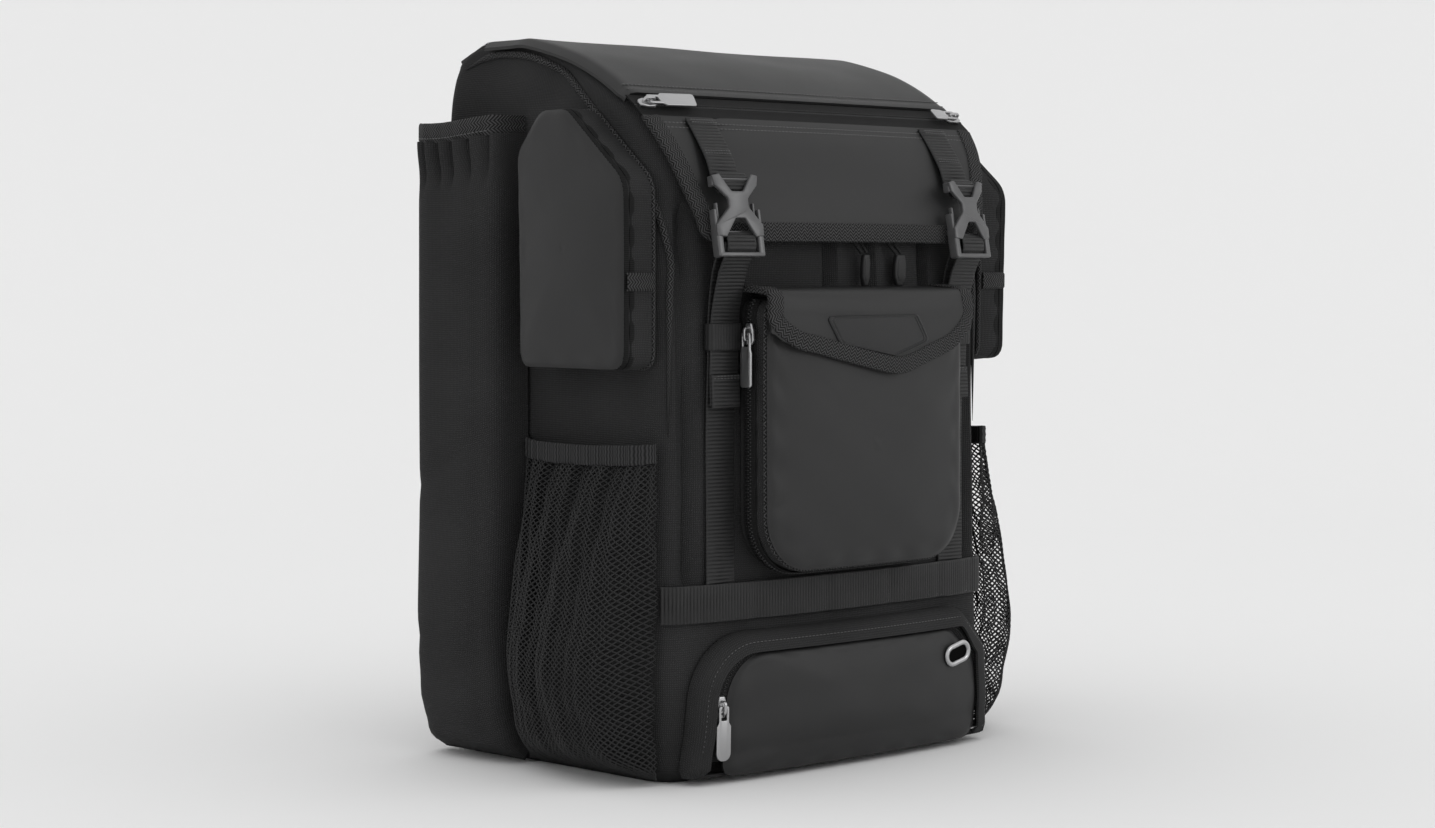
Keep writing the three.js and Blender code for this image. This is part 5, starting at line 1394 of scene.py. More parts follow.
flap_columns = np.linspace(-pocket_flap_half, pocket_flap_half, 90)
columns = []
for x in flap_columns:
    drop = float(pocket_flap_drop(x))
    chosen = [on_pocket_flap(x, pocket_flap_top_z - 0.004 - share * (drop - 0.004), 0) for share in (1, 0.66, 0.33, 0.06)]
    chosen += [on_front(x, pocket_flap_top_z + 0.002, pocket_flap_lift - 0.0045),
               on_front(x, pocket_flap_top_z + 0.0038, pocket_flap_lift * 0.5),
               on_front(x, pocket_flap_top_z + 0.005, seam_gap)]
    course = curve_through(chosen, 0.0008)
    columns.append(course[np.linspace(0, len(course) - 1, 40).round().astype(int)])
pocket_flap_rows = np.stack(columns, axis=1)
hang = smoothstep(0.55, 0.1, np.linspace(0, 1, 40))[:, None]
pocket_flap_rows[..., 1] -= 0.0011 * hang * (0.5 + 0.5 * np.sin(flap_columns * 70 + 0.5))[None, :]
sew(cloth("pocket_flap_cloth", pocket_flap_rows, coated_thickness, coated), "coated_fabric", "pocket_flap")
edge_x = pocket_flap_half - binding_width / 2 + 0.001
edge_points = [(-edge_x, pocket_flap_top_z - 0.003), (-edge_x, pocket_flap_top_z - 0.014)]
for x in (-0.078, -0.06, -0.02, 0.012, tip_x, 0.028, 0.05, 0.080):
    edge_points.append((x, pocket_flap_top_z - float(pocket_flap_drop(x)) + binding_width / 2 - 0.001))
edge_points += [(edge_x, pocket_flap_top_z - 0.014), (edge_x, pocket_flap_top_z - 0.003)]
edge_line = curve_through([(u, v, 0) for u, v in edge_points], 0.002)
pocket_edge_path = on_pocket_flap(edge_line[:, 0], edge_line[:, 1], coated_thickness + 0.0003)
edge_hang = 0.0011 * (0.5 + 0.5 * np.sin(edge_line[:, 0] * 70 + 0.5))
pocket_edge_path[:, 1] -= edge_hang * smoothstep(pocket_flap_top_z - 0.008, pocket_flap_top_z - 0.03, edge_line[:, 1])
top_lift = coated_thickness + 0.0003


def over_the_top(u):
    """The edge's last stretch, from the front over the pocket to the bag."""
    return np.array([on_front(u, pocket_flap_top_z + 0.0008 + top_lift * 0.6, pocket_flap_lift - 0.0022),
                     on_front(u, pocket_flap_top_z + 0.0030 + top_lift, pocket_flap_lift - 0.0085),
                     on_front(u, pocket_flap_top_z + 0.0040 + top_lift, pocket_flap_lift * 0.5),
                     on_front(u, pocket_flap_top_z + 0.0050 + top_lift, 0.004)])


pocket_edge_path = curve_through(np.concatenate([
    over_the_top(-edge_x)[::-1], pocket_edge_path[1:-1:2], over_the_top(edge_x)]), 0.002)
edge_depth = pocket_edge_path[:, 1] - on_front(pocket_edge_path[:, 0], pocket_edge_path[:, 2], 0)[:, 1] + pocket_flap_lift
edge_turned = (smoothstep(-0.0015, 0.0065, edge_depth) * smoothstep(pocket_flap_top_z - 0.008, pocket_flap_top_z,
                                                                    pocket_edge_path[:, 2]))[:, None]
pocket_edge_up = unit(mix(np.array([0, -1.0, 0]), np.array([0, 0, 1.0]), edge_turned))
bound_edge("pocket_edge_tape", pocket_edge_path, pocket_edge_up, 1, binding_width - 0.001, coated_thickness,
           replaced=["pocket_flap_binding"])

# A plain rubber patch is welded on the pocket's flap. Its border is a fine raised line.
patch_points = [(-0.053, 0.3125, 0.002), (0.037, 0.3130, 0.002), (0.050, 0.2950, 0.002), (0.014, 0.2850, 0.003), (-0.041, 0.2950, 0.002)]
patch_points = [(x, z, r) for x, z, r in patch_points[::-1]]
patch_outline = spaced(rounded(patch_points, 4), 0.002, closed=True)
patch_centre = np.array([0.0, 0.3015])


def patch_ring(share, lift):
    line = (patch_outline - patch_centre) * share + patch_centre
    base = on_pocket_flap(line[:, 0], line[:, 1], coated_thickness + lift)
    base[:, 1] -= 0.0011 * (0.5 + 0.5 * np.sin(line[:, 0] * 70 + 0.5)) * smoothstep(
        pocket_flap_top_z - 0.008, pocket_flap_top_z - 0.03, line[:, 1])
    return base


patch_steps = [(1.0, -0.0004), (1.0, 0.0007), (0.985, 0.0010), (0.965, 0.0010), (0.955, 0.0006), (0.93, 0.0006),
               (0.92, 0.0009), (0.905, 0.0009), (0.895, 0.0005), (0.6, 0.0006), (0.3, 0.0006)]
if np.cross(patch_outline[1] - patch_outline[0], patch_outline[2] - patch_outline[1]) < 0:
    patch_outline = patch_outline[::-1]
patch = cloth("blank_patch", [patch_ring(s, w) for s, w in patch_steps], 0.0003, rubber, wrap=True,
              pole=patch_ring(0.0, 0.0006)[0])
sew(patch, "rubber", "pocket_patch")

# The lower pocket has a storm flap of woven cloth round an arched zip, and a coated face that
# bellies out between the zip and the base.
lower_half, lower_low_z, lower_top_z = 0.149, 0.006, 0.098
lower_depth, lower_inset, lower_zip_width, lower_corner, lower_crown = 0.012, 0.030, 0.010, 0.046, 0.006
storm_width = 0.0115
lower_outline = spaced(rounded([
    (-lower_half, lower_low_z, 0.004), (lower_half, lower_low_z, 0.004),
    (lower_half - 0.003, mix(lower_low_z, lower_top_z, 0.7), 0.014), (lower_half - 0.032, lower_top_z, 0.016),
    (-lower_half + 0.012, lower_top_z, lower_corner),
], 12), 0.004, closed=True)
lower_face_outline = spaced(rounded([
    (-lower_half + lower_inset - 0.002, lower_low_z + 0.0012, 0.004), (lower_half - 0.018, lower_low_z + 0.0012, 0.012),
    (lower_half - 0.020, mix(lower_low_z, lower_top_z, 0.58), 0.014), (lower_half - 0.048, lower_top_z - 0.015, 0.014),
    (-lower_half + lower_inset + 0.002, lower_top_z - 0.015, lower_corner - 0.014),
], 12), 0.0035, closed=True)


def foot_kept(line, shrink):
    """Holds the lowest stretch of a ring at the base while the rest moves in."""
    low = lower_outline[:, 1] < lower_low_z + 0.0035
    kept = line.copy()
    kept[low, 1] = lower_low_z + 0.0006 - shrink * 0.0004
    return kept


storm_steps = [(0.0, seam_gap), (0.0002, 0.004), (-0.0008, 0.0076), (-0.0024, 0.0102), (-0.0042, 0.0117),
               (-0.0060, 0.0130), (-0.0088, 0.0142), (-storm_width, 0.0146)]
storm_low = lower_outline[:, 1] < lower_low_z + 0.0035
storm_rows = []
for grow, w in storm_steps:
    line = foot_kept(grown(lower_outline, grow), 1)
    # its right end is broader, and hides the end of the zip
    line[:, 0] -= 0.004 * smoothstep(-0.004, -storm_width, grow) * smoothstep(0.115, 0.135, line[:, 0])
    storm_rows.append(ring_at(line, np.where(storm_low, min(w, 0.0085), w), on_foot))
sew(cloth("storm_flap_cloth", storm_rows, cloth_thickness, woven, wrap=True), "woven_fabric", "lower_pocket_gusset")
lower_zip_lift = lower_depth - zip_thickness + 0.0001
zip_ring = grown(lower_face_outline, mix(lower_zip_width, cloth_thickness + seam_gap, 0.5))
right_cut = int(np.argmax((lower_face_outline[:, 0] > 0) & (lower_face_outline[:, 1] > mix(lower_low_z, lower_top_z, 0.2))))
left_end = len(lower_face_outline)
lower_zip_line = zip_ring[right_cut:left_end]
lower_zip_path = ring_at(lower_zip_line, lower_zip_lift + 0.0008, on_foot)
lower_zip_up = np.array([0, -1.0, 0])
lower_zip_across = edge_across(lower_zip_path, lower_zip_up)
zip_line("lower_zip", lower_zip_path, lower_zip_across, lower_zip_up, lower_zip_width + 0.003, True, ["lower_pocket_zip"])
lower_centre = (0.008, mix(lower_low_z, lower_top_z, 0.45))
face = pocket_face("lower_front_cloth", lower_face_outline, lower_depth - seam_gap, lower_crown, lower_centre, on_foot,
                   ripple=0.0005, edge_round=0.003, seed=2.4)
sew(face, "coated_fabric", "lower_pocket_face")
storm_seam = [seam(spaced(ring_at(grown(lower_outline, -0.0046)[30:-2], 0.0122 + cloth_thickness, on_foot), 0.003), (0, -1, 0), stitch_pitch)]
stitches("lower_stitches", storm_seam, slot="woven_fabric")

# An oval eyelet is pressed through the lower face. It is a rolled ring of steel round a dark hole.


def steel_finish(name="brushed_steel", colour=(0.42, 0.42, 0.425), low=0.22, high=0.4):
    finish, tree, shader = start_finish(name, colour, 0.3, 1.0)
    scratch = cloud(tree, 240, 5)
    grain = cloud(tree, 2200, 3)
    roughness_between(tree, shader, scratch, low, high)
    bump_from(tree, shader, grain, 0.05, 0.0001)
    return finish


steel = steel_finish()
eyelet_length, eyelet_width, eyelet_rim = 0.027, 0.016, 0.0036
eyelet_turn = math.radians(14)
eyelet_x, eyelet_z = lower_half - 0.046, lower_top_z - 0.030
eyelet_lift = lower_depth + lower_crown * 0.68 + coated_thickness + 0.0004
eyelet_place = basis_at(on_foot(eyelet_x, eyelet_z, eyelet_lift), (math.cos(eyelet_turn), 0, math.sin(eyelet_turn)),
                        (-math.sin(eyelet_turn), 0, math.cos(eyelet_turn)))


def slot_course(length, width, steps=14):
    reach = (length - width) / 2
    ends = []
    for side in (1, -1):
        for k in range(steps + 1):
            angle = math.pi * (k / steps - 0.5) + (math.pi if side < 0 else 0)
            ends.append((side * reach + width / 2 * math.cos(angle), width / 2 * math.sin(angle)))
    return np.array(ends)


rim_course = slot_course(eyelet_length - eyelet_rim, eyelet_width - eyelet_rim)
rim_path = np.array([eyelet_place @ Vector((x, y, 0.0006)) for x, y in rim_course])
eyelet = tube("steel_eyelet", spaced(rim_path, 0.0012, True), eyelet_rim / 2, 12, steel, closed=True, flat=0.72,
              up=(0, -1, 0))
sew(eyelet, "metal", "oval_eyelet")
hole_outline = slot_course(eyelet_length - 2 * eyelet_rim + 0.002, eyelet_width - 2 * eyelet_rim + 0.002)


def shadow_finish():
    finish, tree, shader = start_finish("dark_inside", (0.002, 0.002, 0.002), 0.95, gloss=0.05)
    shade_between(tree, shader, cloud(tree, 300, 2), (0.0015, 0.0015, 0.0015), (0.004, 0.004, 0.004))
    return finish


hole = joined_mesh("eyelet_inside", [plate_curve(hole_outline, [], 0.0008, 0.0002)], shadow_finish())
hole.data.transform(eyelet_place @ Matrix.Translation((0, 0, -0.0008)))
sew(hole, "rubber")

# The small side pockets have a coated face on a soft gusset. A narrow zip band runs round the
# gusset under the face, and a short tab crosses it at the front.
side_rear, side_front = 0.008, 0.108
side_low_z, side_top_z = flap_bottom_z - 0.082, bag_height - 0.052
side_depth, side_crown = 0.028, 0.004
side_corners = [(0, 0, 5), (0.985, 0, 7), (1, 0.72, 18), (0.45, 1, 12), (0.22, 1, 12), (0, 0.85, 12)]
side_outline = spaced(rounded([
    (mix(side_rear, side_front, u), mix(side_low_z, side_top_z, v), r * 0.001) for u, v, r in side_corners
], 8), 0.003, closed=True)
side_centre = (mix(side_rear, side_front, 0.48), mix(side_low_z, side_top_z, 0.46))
side_gusset = gusset("side_gusset", side_outline, side_depth, on_left, 0.001)
sew_pair(side_gusset, "woven_fabric", "side_pocket_gusset")
side_face = pocket_face("side_face", side_outline, side_depth, side_crown, side_centre, on_left, 0.00025, 0.003, 4.2)
sew_pair(side_face, "coated_fabric", "side_pocket_face")
side_ring = ring_at(grown(side_outline, 0.0016), side_depth - 0.0042, on_left)
side_ring = spaced(side_ring, 0.003, True)
side_ring_out = unit(np.cross(unit(np.roll(side_ring, -1, axis=0) - np.roll(side_ring, 1, axis=0)), (-1, 0, 0)))
side_zip_profile = [(-0.0046, 0.0), (-0.0044, 0.0012), (-0.0006, 0.0014), (0.0, 0.0002), (0.0006, 0.0014),
                    (0.0044, 0.0012), (0.0046, 0.0)]
side_zip = band(side_ring, (1, 0, 0), side_ring_out, side_zip_profile, "side_zip_band", tape_black, wrap=True)
sew_pair(side_zip, "zip_tape")
side_cord = spaced(ring_at(grown(side_outline, cloth_thickness * 0.7), side_depth - 0.0002, on_left), 0.003, True)
sew_pair(tube("side_piping", side_cord, 0.0013, 8, twill, closed=True, up=(-1, 0, 0)), "webbing")
foot_line = side_outline.copy()
sew_pair(tube("side_foot_piping", spaced(ring_at(grown(foot_line, 0.0022), 0.0018, on_left), 0.003, True), 0.0015, 8,
              twill, closed=True, up=(-1, 0, 0)), "webbing")

# Long net pockets hang on the sides. The mesh is a real diamond net of yarn, gathered in pleats
# under an elastic binding, and it opens out over the shape it was cut for.
net_rear, net_front, net_low, net_top = -0.018, 0.1115, 0.004, 0.229
net_binding, net_depth, net_stand_off = 0.013, 0.050, 0.0007
net_t = (0, 0.12, 0.28, 0.5, 0.75, 0.9, 1.0)
net_plan_u = (0, 0.03, 0.16, 0.45, 0.76, 0.95, 1.0)
net_plan_out = (0.02, 0.34, 0.7, 0.95, 1.0, 0.8, 0.0)
net_share = (0, 0.03, 0.2, 0.36, 0.52, 0.68, 0.84, 1.0)
net_rise_out = (-0.05, 0.30, 0.84, 1.0, 0.92, 0.74, 0.5, 0.28)


def on_net(t, share, lift=0.0):
    plan_u, plan_out = smooth_table(net_t, net_plan_u, t), smooth_table(net_t, net_plan_out, t)
    rise = smooth_table(net_share, net_rise_out, share)
    sag = 0.003 * np.sin(math.pi * np.clip(t, 0, 1)) * smoothstep(0.8, 1.0, share)
    return on_left(mix(net_rear, net_front, plan_u), mix(net_low, net_top - net_binding, share) - sag,
                   net_stand_off + net_depth * plan_out * rise + lift)


def net_yarn_finish():
    finish, tree, shader = start_finish("net_yarn", (0.010, 0.010, 0.0103), 0.75, gloss=0.18)
    twist = cloud(tree, 1500, 3)
    shade_between(tree, shader, twist, (0.011, 0.011, 0.0113), (0.036, 0.036, 0.0366))
    bump_from(tree, shader, twist, 0.3, 0.0003)
    return finish


net_yarn = net_yarn_finish()
net_columns, net_levels = 44, 104


def net_node(column, level):
    """A knot of the net. Every other level is moved by half a mesh."""
    t = (column + 0.5 * (level % 2)) / net_columns
    share = level / net_levels
    pleat = 0.0030 * math.sin(t * 31 + 1.6 * math.sin(share * 4)) * (0.3 + share) * math.sin(math.pi * t)
    pleat += 0.0010 * math.sin(t * 95 + 2.4 * math.sin(share * 9)) * (0.35 + share)
    chevron = 0.0020 * math.sin(t * 47 + 1.0) * (0.5 + 0.5 * share)
    t_shift = 0.0045 * math.sin(share * 40 + t * 17)
    return on_net(np.clip(t + t_shift, 0, 1), np.clip(share + chevron, 0, 1), pleat)


def net_tree(radius, sides):
    """Turns drawn threads into round yarn."""
    tree = bpy.data.node_groups.new("yarn_on_threads", "GeometryNodeTree")
    tree.interface.new_socket("Geometry", in_out="INPUT", socket_type="NodeSocketGeometry")
    tree.interface.new_socket("Geometry", in_out="OUTPUT", socket_type="NodeSocketGeometry")
    source = tree.nodes.new("NodeGroupInput")
    threads = add_node(tree, "GeometryNodeMeshToCurve", None, Mesh=source.outputs[0])
    section = add_node(tree, "GeometryNodeCurvePrimitiveCircle", {"mode": "RADIUS"}, Resolution=sides, Radius=radius)
    yarn = add_node(tree, "GeometryNodeCurveToMesh", None, Curve=threads.outputs[0],
                    i1=section.outputs[0], i3=True)
    real = add_node(tree, "GeometryNodeRealizeInstances", None, Geometry=yarn.outputs[0])
    dressed = add_node(tree, "GeometryNodeSetMaterial", None, Geometry=real.outputs[0], Material=net_yarn)
    target = tree.nodes.new("NodeGroupOutput")
    tree.links.new(dressed.outputs[0], target.inputs[0])
    return tree


def net_piece(name):
    points, edges, index = [], [], {}
    for level in range(net_levels + 1):
        for column in range(net_columns + (1 if level % 2 == 0 else 0)):
            index[column, level] = len(points)
            points.append(net_node(column, level))
    for level in range(net_levels):
        shift = level % 2
        for column in range(net_columns + (1 if level % 2 == 0 else 0)):
            for side in (0, 1):
                other = (column + shift + side - 1, level + 1)
                if other in index:
                    edges.append((index[column, level], index[other]))
    mesh = bpy.data.meshes.new(name)
    mesh.from_pydata([tuple(p) for p in points], edges, [])
    piece = bpy.data.objects.new(name, mesh)
    bpy.context.scene.collection.objects.link(piece)
    return plain_result(piece, net_tree(0.00064, 4), {}, name)


sew_pair(net_piece("diamond_net"), "net", "net_pocket")


def elastic_finish():
    finish, tree, shader = start_finish("ribbed_elastic", (0.016, 0.016, 0.0165), 0.75, gloss=0.12)
    at, (around, up) = cloth_waves(tree, 0.0022, 0.0015, 0.5)
    bump_from(tree, shader, around, 0.4, 0.0004)
    # Painted shade: the elastic's ribs are lighter on their crests and darker between them, following the bump.
    shade_between(tree, shader, around, (0.009, 0.009, 0.0092), (0.040, 0.040, 0.041))
    return finish


elastic = elastic_finish()
cuff_t = np.linspace(0, 1, 120)
cuff_rows = []
for rise, lift in ((0.0004, 0.0), (0.002, 0.0006), (0.0045, 0.0001), (0.0065, 0.0007), (0.009, 0.0001), (0.011, 0.0006),
                   (0.0126, 0.0)):
    line = on_net(cuff_t, np.ones_like(cuff_t))
    gather = 0.0006 * np.sin(cuff_t * 95)
    line = line + np.array([0, 0, rise])
    line[:, 0] -= lift + gather
    cuff_rows.append(line)
sew_pair(cloth("net_cuff", cuff_rows, cloth_thickness, elastic), "webbing", "net_binding")

# A tall open sleeve for the bat runs up each side at the rear. Its cloth is eased into the binding,
# so short folds fan out below it.
sleeve_rear, sleeve_front, sleeve_low, sleeve_top = -0.1135, -0.022, 0.003, bag_height - 0.050
sleeve_binding, sleeve_depth, sleeve_stand_off = 0.012, 0.034, 0.0011
sleeve_plan_u = (0, 0.03, 0.16, 0.45, 0.8, 0.97, 1.0)
sleeve_plan_out = (-0.15, 0.5, 0.9, 1.0, 0.92, 0.62, 0.0)
sleeve_share = (0, 0.012, 0.06, 0.14, 0.45, 0.8, 1.0)
sleeve_rise_out = (-0.08, 0.36, 0.78, 0.95, 1.0, 0.96, 0.9)


def on_sleeve(t, share, lift=0.0, above=0.0):
    plan_u, plan_out = smooth_table(net_t, sleeve_plan_u, t), smooth_table(net_t, sleeve_plan_out, t)
    rise = smooth_table(sleeve_share, sleeve_rise_out, share)
    dip = 0.004 * (1 - np.clip(t, 0, 1)) * smoothstep(0.75, 1.0, share)
    dip = dip + 0.0035 * np.sin(math.pi * np.clip(t, 0, 1)) ** 2 * smoothstep(0.85, 1.0, share)
    return on_left(mix(sleeve_rear, sleeve_front, plan_u),
                   mix(sleeve_low, sleeve_top - sleeve_binding, share) + above - dip,
                   sleeve_stand_off + sleeve_depth * plan_out * rise + lift)


sleeve_t = np.linspace(0, 1, 110)
sleeve_rows = []
for share in np.concatenate([np.linspace(0, 0.06, 8), np.linspace(0.09, 0.9, 60), np.linspace(0.91, 1, 18)]):
    middle = np.sin(math.pi * sleeve_t)
    gathers = sum(depth * fold(sleeve_t, at + drift * (1 - share) * 3, width)
                  for at, depth, width, drift in ((0.22, 0.9, 0.026, 0.02), (0.34, 1.2, 0.026, -0.03), (0.46, 1.1, 0.028, 0.03),
                                                  (0.58, 1.2, 0.026, -0.02), (0.70, 1.3, 0.026, 0.04), (0.83, 1.2, 0.024, -0.03)))
    lift = -0.0070 * gathers * smoothstep(0.90, 0.985, share) * middle ** 0.5
    lift = lift + 0.0042 * smoothstep(0.93, 1.0, share) * middle
    line = on_sleeve(sleeve_t, np.full_like(sleeve_t, share))
    broad = 0.0016 * unevenness(line * np.array([0.6, 1, 0.35]), 22, 3.0) * middle * smoothstep(0.0, 0.1, share)
    crease_low = -0.0024 * fold(share + 0.10 * (sleeve_t - 0.5), 0.16, 0.02) * middle
    crease_mid = -0.0018 * fold(share - 0.14 * (sleeve_t - 0.5), 0.47, 0.016) * middle
    line[:, 0] -= lift + broad + crease_low + crease_mid
    sleeve_rows.append(line)
sew_pair(cloth("sleeve_cloth", sleeve_rows, cloth_thickness, woven), "woven_fabric", "bat_sleeve")
cuff_rows = []
for above, lift in ((0.0006, 0.0), (0.0012, 0.0007), (0.0100, 0.0007), (0.0112, 0.0005), (0.0117, 0.0)):
    line = on_sleeve(sleeve_t, np.ones_like(sleeve_t), 0.0, above)
    line[:, 0] -= lift + 0.0003 * np.sin(sleeve_t * 60)
    cuff_rows.append(line)
sew_pair(cloth("sleeve_cuff", cuff_rows, cloth_thickness, twill), "webbing", "sleeve_binding")
cuff_seam = [seam(spaced(on_sleeve(sleeve_t[3:-3], np.ones(104), cloth_thickness + 0.0011, 0.0022), 0.003), (-1, 0, 0),
                  stitch_pitch)]
sew_pair(set_repeats("sleeve_stitches", cuff_seam, stitch_tree, stitch_length, stitch_thickness, stitch_thickness, thread),
         "webbing")

# A short tab of tape crosses the gusset at its front, where the zip's ends meet.
tab_low, tab_high = 0.331, 0.3415
tab_u = side_front + 0.0022
tab_rows = []
for z, lift in ((tab_low, 0.0), (tab_low + 0.0006, 0.0009), (tab_high - 0.0006, 0.0009), (tab_high, 0.0)):
    w = np.linspace(0.004, 0.027, 14)
    tab_rows.append(on_left(np.full_like(w, tab_u) + lift + 0.0012 * np.sin(w / 0.027 * math.pi), np.full_like(w, z), w[::-1]))
sew_pair(cloth("side_tab", tab_rows, 0.0010, twill), "webbing")

# The side is joined to the top by an arched seam. Its edge is rolled in tape and stands as a soft
# ridge from the rear, round the side pocket and down the front corner.


def laid_on_side(yz, lift):
    """Points on the left side of the body cloth, met from outside."""
    laid, out = [], []
    for y, z in yz:
        hit, normal, _, _ = body_faces.ray_cast(Vector((-0.4, y, z)), Vector((1, 0, 0)))
        if hit is None:
            continue
        laid.append(np.array(hit) + np.array(normal) * lift)
        out.append(np.array(normal))
    return np.array(laid), np.array(out)


ridge_yz = curve_through([(0, 0.086, 0.4850), (0, 0.060, 0.4935), (0, 0.030, 0.4935), (0, 0.004, 0.4885), (0, -0.020, 0.4780),
                          (0, -0.045, 0.4600), (0, -0.070, 0.4370), (0, -0.092, 0.4130), (0, -0.108, 0.3900),
                          (0, -0.116, 0.3600), (0, -0.1170, 0.3250), (0, -0.1170, 0.2850), (0, -0.1165, 0.2330)], 0.003)[:, 1:]
ridge_path, ridge_out = laid_on_side(ridge_yz, 0.0008)
ridge_run = np.linspace(0, 1, len(ridge_path))
ridge_radius = 0.0027 * np.minimum(1, np.minimum(ridge_run * 12, (1 - ridge_run) * 4) + 0.08)
ridge = tube("side_seam_roll", ridge_path, ridge_radius, 10, twill, flat=0.8, up=ridge_out)
sew_pair(ridge, "webbing")

# The back is padded. Its foam is quilted into channels under an open spacer mesh and bound at the
# edge.


def spacer_finish():
    finish, tree, shader = start_finish("spacer_mesh", (0.012, 0.012, 0.0123), 0.85, gloss=0.1)
    at = tree.nodes.new("ShaderNodeTexCoord")
    cells = add_node(tree, "ShaderNodeTexVoronoi", {"feature": "F1"}, Vector=at.outputs["Object"], Scale=420.0)
    bump_from(tree, shader, cells.outputs["Distance"], 0.5, 0.0012)
    shade_between(tree, shader, cells.outputs["Distance"], (0.022, 0.022, 0.0225), (0.005, 0.005, 0.0052))
    return finish


spacer = spacer_finish()
back_half, back_low_z, back_top_z, back_padding = 0.118, 0.052, bag_height - 0.065, 0.009
back_outline = spaced(rounded([(back_half, back_low_z, 0.030), (back_half, back_top_z, 0.040),
                               (-back_half, back_top_z, 0.040), (-back_half, back_low_z, 0.030)], 12), 0.0045, closed=True)
back_centre = np.array([0.0, mix(back_low_z, back_top_z, 0.5)])


def back_relief(u, v):
    """Channels between the foam blocks."""
    valley = 0.0
    for at in (-0.036, 0.036):
        valley = np.maximum(valley, fold(u, at, 0.0055))
    for at in (0.14, 0.22, 0.30, 0.375):
        valley = np.maximum(valley, fold(v + 0.10 * np.abs(u), at + 0.006, 0.0050) * 0.9)
    return valley


back_rows = []
for share in np.concatenate([[1.0, 0.998, 0.992, 0.98, 0.965, 0.945], np.linspace(0.92, 0.02, 60)]):
    line = (back_outline - back_centre) * share + back_centre
    rise = smoothstep(1.0, 0.90, share) ** 0.6
    lift = seam_gap + back_padding * rise * (1 - 0.42 * back_relief(line[:, 0], line[:, 1]) * smoothstep(0.97, 0.9, share))
    back_rows.append(ring_at(line, lift, on_back))
back_pad = cloth("back_padding", back_rows, 0.0006, spacer, wrap=True, pole=on_back(*back_centre, seam_gap + back_padding))
sew(back_pad, "padding", "back_panel")
back_edge = spaced(ring_at(grown(back_outline, 0.0006), 0.0026, on_back), 0.003, True)
sew(tube("back_piping", back_edge, 0.0022, 8, twill, closed=True, up=(0, 1, 0)), "webbing")

# Two shoulder straps of padded mesh leave the bag near the top. Webbing runs from their ends
# through sliding adjusters to the foot of the back.
strap_top_z = bag_height - 0.049
pad_width, pad_thickness, pad_bow = 0.062, 0.010, 0.034
pad_v = np.array([1, 0.985, 0.94, 0.84, 0.68, 0.5, 0.34])
pad_u = np.array([0.72, 0.78, 0.88, 1.02, 1.16, 1.24, 1.26]) * 0.050
pad_w = np.array([0.06, 0.36, 0.72, 1, 1, 0.72, 0.36]) * pad_bow + 0.0111
pad_middle = curve_through(on_back(pad_u, pad_v * strap_top_z, pad_w), 0.004)
pad_columns = np.linspace(-1, 1, 41)


def pad_surface(points, lift_share, bulge):
    along = unit(np.gradient(points, axis=0))
    across = np.array([1.0, 0, 0])
    out = unit(np.cross(across, along))
    out *= np.where(out[:, 1:2] < 0, -1, 1)
    return along, across, out


def strap_pad(name, side):
    points = pad_middle * np.array([side, 1, 1])
    along, across, out = pad_surface(points, 0, 0)
    run = np.linspace(0, 1, len(points))
    rings = []
    profile = []
    for k in range(44):
        angle = 2 * math.pi * k / 44
        ca, sa = math.cos(angle), math.sin(angle)
        profile.append((math.copysign(abs(ca) ** 0.28, ca), math.copysign(abs(sa) ** 0.62, sa)))
    for k, p in enumerate(points):
        end = min(1.0, run[k] * 14, (1 - run[k]) * 14) ** 0.45
        half, deep = pad_width / 2 * max(0.62, end), pad_thickness / 2 * max(0.35, end)
        ring = []
        for a, b in profile:
            quilt = 1 - 0.28 * float(fold(a, 0.0, 0.06)) - 0.22 * float(fold(abs(a), 0.86, 0.05))
            ring.append(p + across * a * half + out[k] * (pad_thickness / 2 + b * deep * quilt))
        rings.append(ring)
    rings = np.array(rings)
    if side < 0:
        rings = rings[:, ::-1]
    return closed_rings(rings, name, spacer, 60, np.concatenate([[0], np.cumsum(np.linalg.norm(np.diff(points, axis=0), axis=1))]))


for side, label in ((-1, "left"), (1, "right")):
    pad = sew(strap_pad(f"strap_padding_{label}", side), "padding", f"shoulder_strap_{label}")
    points = pad_middle * np.array([side, 1, 1])
    along, across, out = pad_surface(points, 0, 0)
    edges = []
    for reach in (-1, 1):
        path = points[3:-3] + across * reach * (pad_width / 2 + 0.0004) + out[3:-3] * pad_thickness / 2
        edges.append(tube(f"strap_edge_{label}", spaced(path, 0.003), 0.0021, 8, twill, up=(0, 1, 0)))
    sew(join_pieces(*edges), "webbing")

strap_foot_z, adjuster_z = 0.074, 0.141
adjuster_place_v, adjuster_w = 0.141, 0.02634
foot_t = np.array([0, 0.12, 0.4, 0.72, 1.0])
foot_u = mix(0.0944, 0.063, np.minimum(1, foot_t / 0.72))
foot_v = mix(strap_foot_z, adjuster_z - 0.0127, foot_t)
foot_w = mix(0.0102, 0.02634, np.sin(math.pi * foot_t / 2))
for side, label in ((-1, "left"), (1, "right")):
    foot_line = curve_through(on_back(foot_u * side, foot_v, foot_w + webbing_thickness / 2), 0.002)
    across = np.tile([-1.0, 0, 0], (len(foot_line), 1))
    sew(webbing_piece(f"foot_webbing_{label}", foot_line, across, 0.0208), "webbing", f"strap_webbing_{label}")


def black_plastic_finish():
    finish, tree, shader = start_finish("black_plastic", (0.012, 0.012, 0.0125), 0.45)
    roughness_between(tree, shader, cloud(tree, 160, 3), 0.36, 0.55)
    bump_from(tree, shader, cloud(tree, 1400, 3), 0.08, 0.0002)
    return finish


